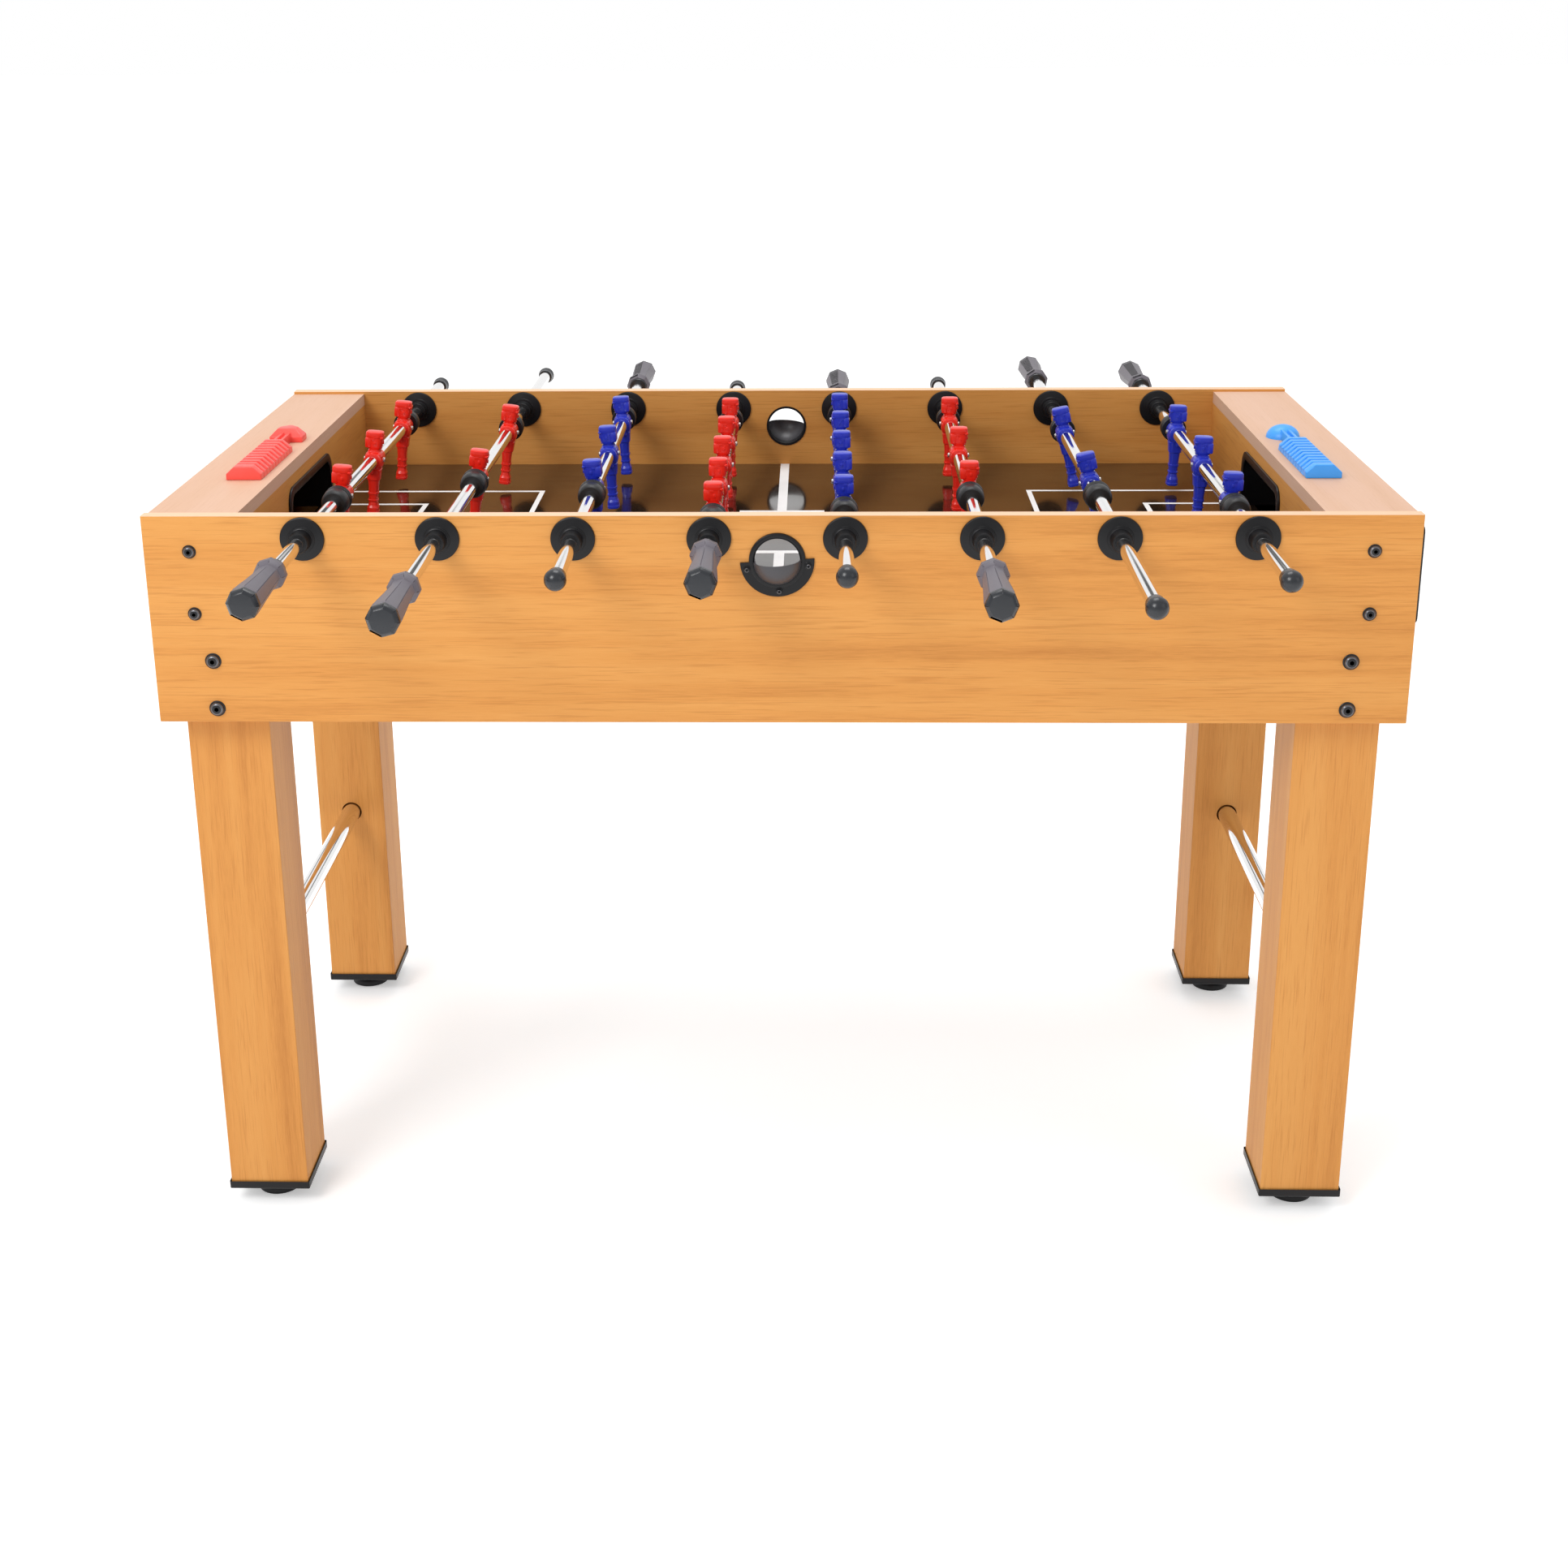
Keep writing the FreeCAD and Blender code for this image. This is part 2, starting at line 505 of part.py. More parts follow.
# Fixed groups of separate solids.
halfWidth = size("table_width / 2")
rodHigh = size("rod_high")
outerFaces = [(at(0, -halfWidth, 0), 1), (at(0, halfWidth, 0, halfTurn), -1)]
bearings = []
retainers = []
for rod in rods:
    x = size(rodX(rod))
    for face, sign in outerFaces:
        bearings.append(moved(bearing.Shape, face.multiply(at(sign * x, 0, rodHigh))))
        place = face.multiply(at(sign * x, size("panel_thick"), rodHigh))
        retainers.append(moved(retainer.Shape, place))
nodes["rod_bearings"] = group("rod_bearings", bearings)
nodes["bearing_retainers"] = group("bearing_retainers", retainers)

mirrorX = (Vector(), Vector(1, 0, 0))
mirrorY = (Vector(), Vector(0, 1, 0))
bothEnds = [Placement(), Placement(Vector(), halfTurn)]
nodes["goal_frames"] = group("goal_frames", [moved(goalFrame.Shape, turn) for turn in bothEnds])
nodes["end_panels"] = group("end_panels", [moved(endPanel.Shape, turn) for turn in bothEnds])
nodes["deck_boards"] = group("deck_boards", [moved(deck.Shape, turn) for turn in bothEnds])
returnPieces = [moved(piece.Shape, turn) for turn in bothEnds for piece in (tray, ballReturn)]
nodes["ball_returns"] = group("ball_returns", returnPieces)

entryTurn = at(0, 0, size("entry_high"), Rotation(Vector(0, 1, 0), -size("entry_tilt")))
nodes["ball_entries"] = group("ball_entries", [
    moved(entry.Shape, face.multiply(entryTurn)) for face, sign in outerFaces])

cornerBlocks = []
for block in (upperDrilled, lowerDrilled):
    acrossY = [block.Shape, block.Shape.mirror(*mirrorY)]
    cornerBlocks += acrossY + [shape.mirror(*mirrorX) for shape in acrossY]
nodes["corner_blocks"] = group("corner_blocks", cornerBlocks)

footX, footY = size(legX), size(legY)
corners = {f"{side}_{end}": (endSign * footX, sideSign * footY)
           for end, endSign in ends for side, sideSign in sides}
nodes["leg_end_caps"] = group("leg_end_caps", [moved(legCap.Shape, at(x, y, 0)) for x, y in corners.values()])
for name, (x, y) in corners.items():
    nodes[f"{name}_leveller"] = group(f"{name}_leveller", [moved(leveller.Shape, at(x, y, 0))])

reach = size(f"{legFront} - leg_width + tube_depth")
stretchers = []
for end, sign in ends:
    start = Vector(sign * footX, -reach, size("tube_high"))
    stretchers.append(Part.makeCylinder(size("tube_radius"), 2 * reach, start, Vector(0, 1, 0)))
nodes["leg_stretchers"] = group("leg_stretchers", stretchers)


def boltShape(headRadius, length, shaftRadius, headHigh):
    """A round-headed bolt with a washer and a hexagon recess, driven along +Y from Y = 0."""
    shaft = Part.makeCylinder(shaftRadius, length, Vector(0, -0.2, 0), Vector(0, 1, 0))
    washer = Part.makeCylinder(headRadius, 1.2, Vector(0, -1.2, 0), Vector(0, 1, 0))
    head = Part.makeCone(headRadius * 0.86, headRadius * 0.5, headHigh, Vector(0, -1.2, 0), Vector(0, -1, 0))
    solid = shaft.fuse(washer).fuse(head)
    hexagon = [Vector(headRadius * 0.3 * math.cos(math.radians(60 * step)), -1.2 - headHigh,
                      headRadius * 0.3 * math.sin(math.radians(60 * step))) for step in range(7)]
    socket = Part.Face(Part.makePolygon(hexagon)).extrude(Vector(0, headHigh * 0.8, 0))
    return solid.cut(socket)


bolts = []
for face, sign in outerFaces:
    for x, z, head, long in boltPlaces():
        shape = boltShape(size(head), size(long), size("bolt_radius"), size(head) * 0.45)
        bolts.append(moved(shape, face.multiply(at(sign * size(x), 0, size(z)))))
    for x, z in screwPlaces(sign):
        shape = boltShape(3, 10, size("pin_radius"), 1.2)
        outer = -size("entry_proud")
        bolts.append(moved(shape, face.multiply(at(sign * size(x), outer, size(z)))))
nodes["cabinet_bolts"] = group("cabinet_bolts", bolts)

# Scorers: a fixed rail with two screwed ends and ten beads that slide along it.
deckTop = "table_top - deck_drop"
trapezoid = [("-scorer_half", "0"), ("scorer_half", "0"), ("scorer_half", "scorer_edge"),
             ("scorer_ridge", "scorer_high"), ("-scorer_ridge", "scorer_high"),
             ("-scorer_half", "scorer_edge")]
railSection = [("-rail_half", "0"), ("rail_half", "0"), ("rail_half", "rail_high"),
               ("rail_groove", "rail_high"), ("rail_groove", "rail_high - 4"),
               ("-rail_groove", "rail_high - 4"), ("-rail_groove", "rail_high"), ("-rail_half", "rail_high")]
saddle = "rail_half + gap"
beadSection = [("-scorer_half", "gap"), (f"-({saddle})", "gap"), (f"-({saddle})", "rail_high + gap"),
               (saddle, "rail_high + gap"), (saddle, "gap"), ("scorer_half", "gap"),
               ("scorer_half", "scorer_edge"), ("scorer_ridge", "scorer_high"),
               ("-scorer_ridge", "scorer_high"), ("-scorer_half", "scorer_edge")]
railEnd = "scorer_far - scorer_head / 2"
headStart = "scorer_far - scorer_head"
headTaper = "scorer_far - 16"
rail = padded("scorer_rail", "XZ_Plane", railSection, f"{railEnd} - scorer_near - scorer_end")
rail.setExpression("Placement.Base.y", linked(railEnd))
endBlock = padded("scorer_end_block", "XZ_Plane", trapezoid, "scorer_end")
endBlock.setExpression("Placement.Base.y", linked("scorer_near + scorer_end"))
screwHoles = [rodAlong(f"scorer_hole_{index}", None, ("0", along, "scorer_high - 3"), "3", "4")
              for index, along in enumerate(("scorer_near + scorer_end / 2", railEnd))]
headRidge = padded("scorer_head_ridge", "XZ_Plane", trapezoid, "scorer_head")
headRidge.setExpression("Placement.Base.y", linked("scorer_far"))
headPlan = padded("scorer_head_plan", "XY_Plane", [
    ("-scorer_half", headStart), ("scorer_half", headStart), ("scorer_half", headTaper),
    ("rail_half", "scorer_far"), ("-rail_half", "scorer_far"), ("-scorer_half", headTaper)], "scorer_high")
angularHead = doc.addObject("Part::Common", "scorer_angular_head")
angularHead.Base = headRidge
angularHead.Tool = headPlan
dome = primitive("Ellipsoid", "scorer_dome", ("0", railEnd, "0"),
                 Radius1="scorer_high + 0.5", Radius2="scorer_half", Radius3="scorer_head / 2")
domeRoom = box("scorer_dome_room", ("-scorer_half", headStart, "0"),
               ("scorer_half", "scorer_far", "scorer_high"))
roundHead = doc.addObject("Part::Common", "scorer_round_head")
roundHead.Base = dome
roundHead.Tool = domeRoom
bead = padded("scorer_bead", "XZ_Plane", beadSection, "bead_thick")
scorers = {"red": (-1, angularHead), "blue": (1, roundHead)}
scorerSolids = {}
for colour, (sign, head) in scorers.items():
    whole = fuse(f"{colour}_scorer_whole", [rail, endBlock, head])
    scorerSolids[colour] = cut(f"{colour}_scorer_drilled", whole, screwHoles)
doc.recompute()
for colour, (sign, head) in scorers.items():
    base = at(sign * size("scorer_x"), 0, size(deckTop))
    nodes[f"{colour}_scorer_rail"] = group(f"{colour}_scorer_rail", [moved(scorerSolids[colour].Shape, base)])
    start = size("scorer_near + scorer_end + gap + bead_thick")
    beads = [moved(bead.Shape, base.multiply(at(0, start + size("bead_pitch") * index, 0)))
             for index in range(int(size("bead_count")))]
    nodes[f"{colour}_scorer_beads"] = group(f"{colour}_scorer_beads", beads)

# The eight rods.
handle = handleShapes()
for rod in rods:
    def own(name):
        return size(f"rod_{name}_of_{rod}")

    count, spacing, middle = int(own("players")), own("spacing"), own("middle")
    places = [middle + spacing * (index - (count - 1) / 2) for index in range(count)]
    axis = at(size(rodX(rod)), 0, rodHigh)
    turn = Rotation(Vector(0, 1, 0), own("turn"))
    side = 1 if own("handle_end") < 0 else -1
    facing = Rotation() if side > 0 else halfTurn
    players = [moved(shape, axis.multiply(at(0, y, 0, turn)))
               for y in places for shape in (player.Shape, pin.Shape)]
    nodes[f"rod_{rod}_players"] = group(f"rod_{rod}_players", players)

    reachOut = size("shoulder_half + gap")
    frontBumper = places[0] - reachOut - own("bumper_slip")
    bumpers = [moved(bumper.Shape, axis.multiply(at(0, places[-1] + reachOut, 0))),
               moved(bumper.Shape, axis.multiply(at(0, frontBumper, 0, halfTurn)))]
    nodes[f"rod_{rod}_bumpers"] = group(f"rod_{rod}_bumpers", bumpers)

    start = own("handle_end") + side * size("handle_end_thick")
    finish = own("knob_tip") - side * size("knob_radius + 2")
    low, long = min(start, finish), abs(finish - start)
    outside = Part.makeCylinder(size("rod_radius"), long, Vector(0, low, 0), Vector(0, 1, 0))
    bore = Part.makeCylinder(size("rod_radius - rod_wall"), long, Vector(0, low, 0), Vector(0, 1, 0))
    tube = outside.cut(bore)
    for y in places:
        across = 2 * size("pin_half")
        hole = Part.makeCylinder(size("pin_radius"), 2 * across, Vector(-across, y, 0), Vector(1, 0, 0))
        tube = tube.cut(hole)
    nodes[f"rod_{rod}_tube"] = group(f"rod_{rod}_tube", [moved(tube, axis.multiply(at(0, 0, 0, turn)))])

    handlePlace = axis.multiply(at(0, own("handle_end"), 0, turn.multiply(facing)))
    grips = [moved(shape, handlePlace) for shape in handle]
    inward = turn.multiply(facing).multiply(halfTurn)
    grips.append(moved(knob.Shape, axis.multiply(at(0, own("knob_tip"), 0, inward))))
    nodes[f"rod_{rod}_handle"] = group(f"rod_{rod}_handle", grips)

doc.recompute()
failed = [item.Label for item in doc.Objects if {"Invalid", "Error"} & set(item.State)]
for name, node in nodes.items():
    if node.Label != name or node.Shape.isNull() or not node.Shape.isValid() or not node.Shape.Solids:
        failed.append(name)
if failed:
    raise RuntimeError(f"These did not build: {failed}")

os.makedirs("parts", exist_ok=True)
for name, node in nodes.items():
    node.Shape.exportStep(os.path.join("parts", f"{name}.step"))
    print(name, len(node.Shape.Solids), "solids", round(node.Shape.Volume / 1000, 1), "cm3")
print(len(nodes), "sub-parts")
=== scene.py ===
import bpy
import bmesh
import json
import math
from mathutils import Matrix, Vector

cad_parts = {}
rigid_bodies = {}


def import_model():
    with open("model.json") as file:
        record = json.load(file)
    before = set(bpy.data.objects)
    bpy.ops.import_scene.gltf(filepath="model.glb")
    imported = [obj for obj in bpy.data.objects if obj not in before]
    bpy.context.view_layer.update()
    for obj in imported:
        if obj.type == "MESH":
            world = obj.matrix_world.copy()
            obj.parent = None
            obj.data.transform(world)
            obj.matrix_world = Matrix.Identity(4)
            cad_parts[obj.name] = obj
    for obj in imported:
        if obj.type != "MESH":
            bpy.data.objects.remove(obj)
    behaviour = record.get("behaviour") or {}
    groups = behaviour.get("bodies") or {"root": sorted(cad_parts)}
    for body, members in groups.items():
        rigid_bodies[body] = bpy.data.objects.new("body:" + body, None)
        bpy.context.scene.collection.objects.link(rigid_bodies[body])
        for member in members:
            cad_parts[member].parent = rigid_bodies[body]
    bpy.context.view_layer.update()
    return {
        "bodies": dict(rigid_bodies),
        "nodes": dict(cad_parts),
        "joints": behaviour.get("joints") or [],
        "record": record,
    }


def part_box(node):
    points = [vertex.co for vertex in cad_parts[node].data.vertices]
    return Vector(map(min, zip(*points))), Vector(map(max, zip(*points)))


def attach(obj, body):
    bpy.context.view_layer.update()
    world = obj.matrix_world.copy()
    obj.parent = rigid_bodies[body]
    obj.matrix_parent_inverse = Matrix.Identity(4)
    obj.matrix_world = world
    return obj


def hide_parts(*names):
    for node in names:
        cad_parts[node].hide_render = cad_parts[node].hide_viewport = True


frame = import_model()
mm = 0.001
tiny = 1e-6
print("frame loaded:", len(frame["nodes"]), "nodes")


# Shader maths: a wrapped socket adds Math nodes as its expression is evaluated.
class Socket:
    def __init__(self, shader, link):
        self.shader = shader
        self.link = link

    def join(self, operation, *values):
        return self.shader.node("ShaderNodeMath", {"operation": operation}, dict(enumerate(values)))

    def __add__(self, other):
        return self.join("ADD", self, other)

    def __radd__(self, other):
        return self.join("ADD", other, self)

    def __sub__(self, other):
        return self.join("SUBTRACT", self, other)

    def __rsub__(self, other):
        return self.join("SUBTRACT", other, self)

    def __mul__(self, other):
        return self.join("MULTIPLY", self, other)

    def __rmul__(self, other):
        return self.join("MULTIPLY", other, self)

    def above(self, other):
        return self.join("GREATER_THAN", self, other)

    def clamped(self):
        return self.shader.node("ShaderNodeClamp", {}, {"Value": self})


class Nodes:
    def __init__(self, tree, coordinates):
        self.tree = tree
        self.place = self.node("ShaderNodeTexCoord", {}, {}, coordinates)

    def node(self, kind, settings, values, output=0):
        made = self.tree.nodes.new(kind)
        stops = settings.get("stops")
        for key, value in settings.items():
            if key != "stops":
                setattr(made, key, value)
        if stops:
            while len(made.color_ramp.elements) < len(stops):
                made.color_ramp.elements.new(1)
            for element, (position, colour) in zip(made.color_ramp.elements, stops):
                element.position = position
                element.color = (*colour, 1)
        for key, value in values.items():
            if isinstance(value, Socket):
                self.tree.links.new(value.link, made.inputs[key])
            else:
                made.inputs[key].default_value = value
        return Socket(self, made.outputs[output])

    def mapped(self, scale):
        return self.node("ShaderNodeMapping", {}, {"Vector": self.place, "Scale": scale})

    def noise(self, vector, scale, detail=3, roughness=0.5, distortion=0):
        values = {"Vector": vector, "Scale": scale, "Detail": detail, "Roughness": roughness,
                  "Distortion": distortion}
        return self.node("ShaderNodeTexNoise", {}, values)

    def ramp(self, value, stops):
        return self.node("ShaderNodeValToRGB", {"stops": stops}, {0: value})

    def mix(self, factor, one, two):
        one, two = ((*colour, 1) if isinstance(colour, tuple) else colour for colour in (one, two))
        return self.node("ShaderNodeMix", {"data_type": "RGBA"}, {0: factor, 6: one, 7: two}, 2)

    def axis(self, name):
        return self.node("ShaderNodeSeparateXYZ", {}, {0: self.place}, name)


class Shader(Nodes):
    def __init__(self, name):
        self.material = bpy.data.materials.new(name)
        self.material.use_nodes = True
        super().__init__(self.material.node_tree, "Object")
        self.surface = self.tree.nodes["Principled BSDF"]

    def set(self, name, value):
        if isinstance(value, Socket):
            self.tree.links.new(value.link, self.surface.inputs[name])
        else:
            self.surface.inputs[name].default_value = (*value, 1) if isinstance(value, tuple) else value

    def bump(self, height, distance, strength=1.0):
        self.set("Normal", self.node("ShaderNodeBump", {}, {"Height": height, "Distance": distance,
                                                           "Strength": strength}))


# Wood: colours from light to dark, how fine the figure is along and across the grain, and the pale colour
# painted along a board's top edge as a highlight from the light above.
woodLook = {"light": (0.68, 0.315, 0.078), "mid": (0.62, 0.262, 0.055), "dark": (0.45, 0.165, 0.028),
            "along": 1.1, "across": 26, "dashAlong": 15, "dashAcross": 560, "dashes": 0.45,
            "roughness": 0.48, "edge": (0.80, 0.52, 0.34)}


def woodShader(name, alongAxis, tint=1.0, paintedSheen=0.0, highlightAbove=9.0, figure=1.0):
    shader = Shader(name)
    look = woodLook
    stretch = [look["across"]] * 3
    stretch[alongAxis] = look["along"]
    fine = [look["dashAcross"]] * 3
    fine[alongAxis] = look["dashAlong"]
    bands = shader.noise(shader.mapped(tuple(stretch)), 1.0, 6, 0.62, 0.6)
    broad = shader.noise(shader.mapped(tuple(value * 0.18 for value in stretch)), 1.0, 3, 0.5)
    dashes = shader.noise(shader.mapped(tuple(fine)), 1.0, 2, 0.55)
    fibre = shader.noise(shader.mapped(tuple(value * 3 for value in fine)), 1.0, 3, 0.7)
    tone = 0.48 + figure * (bands * 0.5 + broad * 0.3 + fibre * 0.2 - 0.48)
    # a painted sheen: the last factor raises blue most and green a little, making the shades paler and pinker as
    # reflected light would
    shades = [tuple(part * tint * (1 + paintedSheen * weight) for part, weight in zip(look[key], (0.02, 0.22, 1.6)))
              for key in ("dark", "mid", "light")]
    colour = shader.ramp(tone, [(0.34, shades[0]), (0.47, shades[1]), (0.62, shades[2])])
    dashMask = ((dashes - 0.54) * 7).clamped() * (look["dashes"] * figure)
    colour = shader.mix(dashMask, colour, shades[0])
    # painted highlight: the top edge of a board is made paler, standing in for the light falling on it from
    # above
    onLitTopEdge = shader.axis("Z").above(highlightAbove)  # the paler strip along a board's upper edge
    shader.set("Base Color", shader.mix(onLitTopEdge, colour, look["edge"]))
    shader.set("Roughness", look["roughness"] + 0.12 * fibre)
    shader.surface.inputs["Specular IOR Level"].default_value = 0.35
    shader.bump(fibre - dashMask, 0.0002, 0.3)
    return shader.material


def plasticShader(name, colour, roughness, grain=0.00004, grainScale=1400, coat=0.0, wear=0.06, metallic=0.0,
                  specular=0.5):
    shader = Shader(name)
    speckle = shader.noise(shader.place, grainScale, 2)
    patches = shader.noise(shader.place, 18, 4)
    lighter = tuple(min(1, part * (1 + 4 * wear) + wear * 0.02) for part in colour)
    shader.set("Base Color", shader.mix(patches, colour, lighter))
    shader.set("Roughness", roughness - 0.08 + 0.16 * patches)
    shader.set("Coat Weight", coat)
    shader.set("Metallic", metallic)
    shader.set("Specular IOR Level", specular)
    shader.bump(speckle, grain)
    return shader.material


def chromeShader(name):
    shader = Shader(name)
    streaks = shader.noise(shader.mapped((900, 6, 900)), 1.0, 3)
    smears = shader.noise(shader.place, 30, 4)
    shader.set("Base Color", shader.mix(smears, (0.80, 0.80, 0.81), (0.90, 0.89, 0.88)))
    shader.set("Metallic", 1.0)
    shader.set("Roughness", 0.05 + 0.09 * smears * streaks)
    shader.bump(streaks, 0.00001, 0.3)
    return shader.material


def fieldShader(name):
    shader = Shader(name)
    grain = shader.noise(shader.mapped((3, 60, 60)), 1.0, 5, 0.6)
    scuffs = shader.noise(shader.place, 45, 6, 0.7)
    shader.set("Base Color", shader.mix(grain, (0.010, 0.006, 0.004), (0.028, 0.015, 0.008)))
    shader.set("Roughness", 0.05 + 0.1 * scuffs)
    shader.set("Coat Weight", 0.35)
    shader.surface.inputs["Coat Roughness"].default_value = 0.04
    shader.bump(scuffs, 0.00002, 0.2)
    return shader.material


materials = {
    # the side panels get the painted top-edge highlight above this height
    "panel": woodShader("beechPanel", 0, highlightAbove=0.8692),
    # the deck boards carry a painted sheen that makes them paler and pinker
    "deck": woodShader("beechDeck", 1, 0.98, 2.4, figure=0.35),
    "endBoard": woodShader("beechEnd", 1),
    "leg": woodShader("beechLeg", 2, 0.97),
    "field": fieldShader("glossPitch"),
    "line": plasticShader("linePaint", (0.80, 0.80, 0.79), 0.35, 0.00001),
    "black": plasticShader("blackPlastic", (0.0035, 0.0035, 0.0045), 0.36, specular=0.3),
    "cup": plasticShader("greyCup", (0.042, 0.040, 0.045), 0.38),
    "rubber": plasticShader("bumperRubber", (0.008, 0.008, 0.009), 0.42, 0.00005, specular=0.4),
    "grip": plasticShader("gripPlastic", (0.105, 0.094, 0.112), 0.42, 0.00006, specular=0.4),
    "gripEnd": plasticShader("gripEnd", (0.012, 0.014, 0.018), 0.26, specular=0.5),
    "chrome": chromeShader("chromeTube"),
    "steel": plasticShader("screwSteel", (0.55, 0.54, 0.52), 0.3, metallic=1.0),
    "bolt": plasticShader("blackBolt", (0.006, 0.006, 0.008), 0.34, specular=0.4),
    # a lighter grey painted onto a ring of each bolt head: a painted highlight
    "boltHighlightRing": plasticShader("boltHighlightRing", (0.12, 0.12, 0.13), 0.3, metallic=0.8),
    "red": plasticShader("redPlayer", (0.74, 0.017, 0.007), 0.30, 0.00003, coat=0.15, specular=0.4),
    "blue": plasticShader("bluePlayer", (0.014, 0.028, 0.42), 0.30, 0.00003, coat=0.15, specular=0.4),
    "redScorer": plasticShader("redScorer", (0.83, 0.075, 0.060), 0.36, 0.00002),
    "blueScorer": plasticShader("blueScorer", (0.045, 0.30, 0.80), 0.36, 0.00002),
}
print("materials made:", len(materials))


# Mesh tools.
def newShape():
    return bmesh.new()


def turnOutline(shape, outline, steps=48, material=0, half=False):
    # an outline of (radius, along) pairs in millimetres, turned about the Y axis
    corners = [shape.verts.new((radius * mm, along * mm, 0)) for radius, along in outline]
    edges = [shape.edges.new(pair) for pair in zip(corners, corners[1:])]
    if outline[0][0] > 0 and outline[-1][0] > 0:
        edges.append(shape.edges.new((corners[-1], corners[0])))
    before = set(shape.faces)
    bmesh.ops.spin(shape, geom=corners + edges, cent=(0, 0, 0), axis=(0, 1, 0),
                   angle=math.pi if half else math.tau, steps=steps, use_merge=not half)
    bmesh.ops.remove_doubles(shape, verts=shape.verts, dist=tiny)
    if half:
        rims = [edge for edge in shape.edges if edge.is_boundary]
        bmesh.ops.holes_fill(shape, edges=rims, sides=0)
    for face in set(shape.faces) - before:
        face.material_index = material


def turnedPattern(outline, steps=48, material=0, half=False):
    shape = newShape()
    turnOutline(shape, outline, steps, material, half)
    return asPattern(shape)


def soften(shape, edges, radius, segments=2):
    bmesh.ops.bevel(shape, geom=edges, offset=radius * mm, segments=segments, profile=0.5, affect="EDGES",
                    material=-1, clamp_overlap=True)


def vertsOf(items):
    return [item for item in items if isinstance(item, bmesh.types.BMVert)]


def addBlock(shape, low, high, bevel=0.0):
    made = bmesh.ops.create_cube(shape, size=1)["verts"]
    low, high = Vector(low) * mm, Vector(high) * mm
    bmesh.ops.scale(shape, vec=high - low, verts=made)
    bmesh.ops.translate(shape, vec=(low + high) / 2, verts=made)
    if bevel:
        soften(shape, list({edge for vert in made for edge in vert.link_edges}), bevel)


# Where an outline's two measures and its depth go.
planes = {"XZ": lambda a, b, c: (a, c, b), "YZ": lambda a, b, c: (c, a, b), "XY": lambda a, b, c: (a, b, c)}


def outlinePrism(shape, outline, low, high, plane="XZ", bevel=0.0, segments=2):
    # a flat outline in millimetres, filled and pulled through from low to high
    put = planes[plane]
    corners = [shape.verts.new(Vector(put(a, b, low)) * mm) for a, b in outline]
    face = shape.faces.new(corners)
    moved = vertsOf(bmesh.ops.extrude_face_region(shape, geom=[face])["geom"])
    bmesh.ops.translate(shape, vec=Vector(put(0, 0, high - low)) * mm, verts=moved)
    shape.normal_update()
    if bevel:
        linked = {edge for vert in corners + moved for edge in vert.link_edges}
        soften(shape, [edge for edge in linked if edge.calc_face_angle(0) > 0.5], bevel, segments)


def asPattern(shape):
    bmesh.ops.recalc_face_normals(shape, faces=shape.faces)
    mesh = bpy.data.meshes.new("pattern")
    shape.to_mesh(mesh)
    shape.free()
    return mesh


def stamp(shape, pattern, matrix):
    before = len(shape.verts)
    shape.from_mesh(pattern)
    shape.verts.ensure_lookup_table()
    bmesh.ops.transform(shape, matrix=matrix, verts=shape.verts[before:])


def finishPiece(name, shape, body, looks, replaces=(), sharp=32):
    mesh = bpy.data.meshes.new(name)
    bmesh.ops.recalc_face_normals(shape, faces=shape.faces)
    shape.to_mesh(mesh)
    shape.free()
    for look in looks:
        mesh.materials.append(materials[look])
    mesh.shade_smooth()
    mesh.set_sharp_from_angle(angle=math.radians(sharp))
    piece = bpy.data.objects.new(name, mesh)
    bpy.context.scene.collection.objects.link(piece)
    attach(piece, body)
    if replaces:
        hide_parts(*replaces)
    return piece


def place(x, y, z, turnY=0.0, flip=False):
    matrix = Matrix.Translation(Vector((x, y, z)))
    matrix = matrix @ Matrix.Rotation(math.radians(turnY), 4, "Y")
    return matrix @ Matrix.Rotation(math.pi, 4, "Z") if flip else matrix


def dress(node, look):
    mesh = frame["nodes"][node].data
    mesh.materials.clear()
    mesh.materials.append(materials[look])


# Facts read from the frame.
sideLow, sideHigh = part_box("front_side_panel")
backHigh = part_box("back_side_panel")[1]
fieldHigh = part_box("playfield")[1]
panelThick = 15
rodBoxes = {rod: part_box(f"rod_{rod}_tube") for rod in range(1, 9)}
rodX = {rod: (low.x + high.x) / 2 for rod, (low, high) in rodBoxes.items()}
rodZ = (rodBoxes[4][0].z + rodBoxes[4][1].z) / 2
faceFront, faceBack = sideLow.y, backHigh.y

# The wooden pieces keep their shape and get their grain along the board.
woodLooks = {"front_side_panel": "panel", "back_side_panel": "panel", "left_goal_panel": "endBoard",
             "right_goal_panel": "endBoard", "end_panels": "endBoard", "deck_boards": "deck",
             "corner_blocks": "endBoard", "playfield": "field"}
for node, look in woodLooks.items():
    dress(node, look)
for side in ("front", "back"):
    for end in ("left", "right"):
        dress(f"{side}_{end}_leg", "leg")
print("boards dressed")

# Pitch lines: thin strips of paint, butted so that none overlaps another.
linePaint = {"wide": 6.5, "wideMiddle": 12, "middle": -2, "thick": 0.25, "outerDeep": 265, "outerHalf": 186,
             "innerDeep": 122, "innerHalf": 115, "boxNear": -132, "boxFar": 76, "boxHalf": 54,
             "sunk": 0.05, "endInset": 18.5, "sideGap": 0.5}


def addStrip(shape, low, high):
    bottom = fieldHigh.z / mm - linePaint["sunk"]
    addBlock(shape, (*low, bottom), (*high, bottom + linePaint["thick"]))


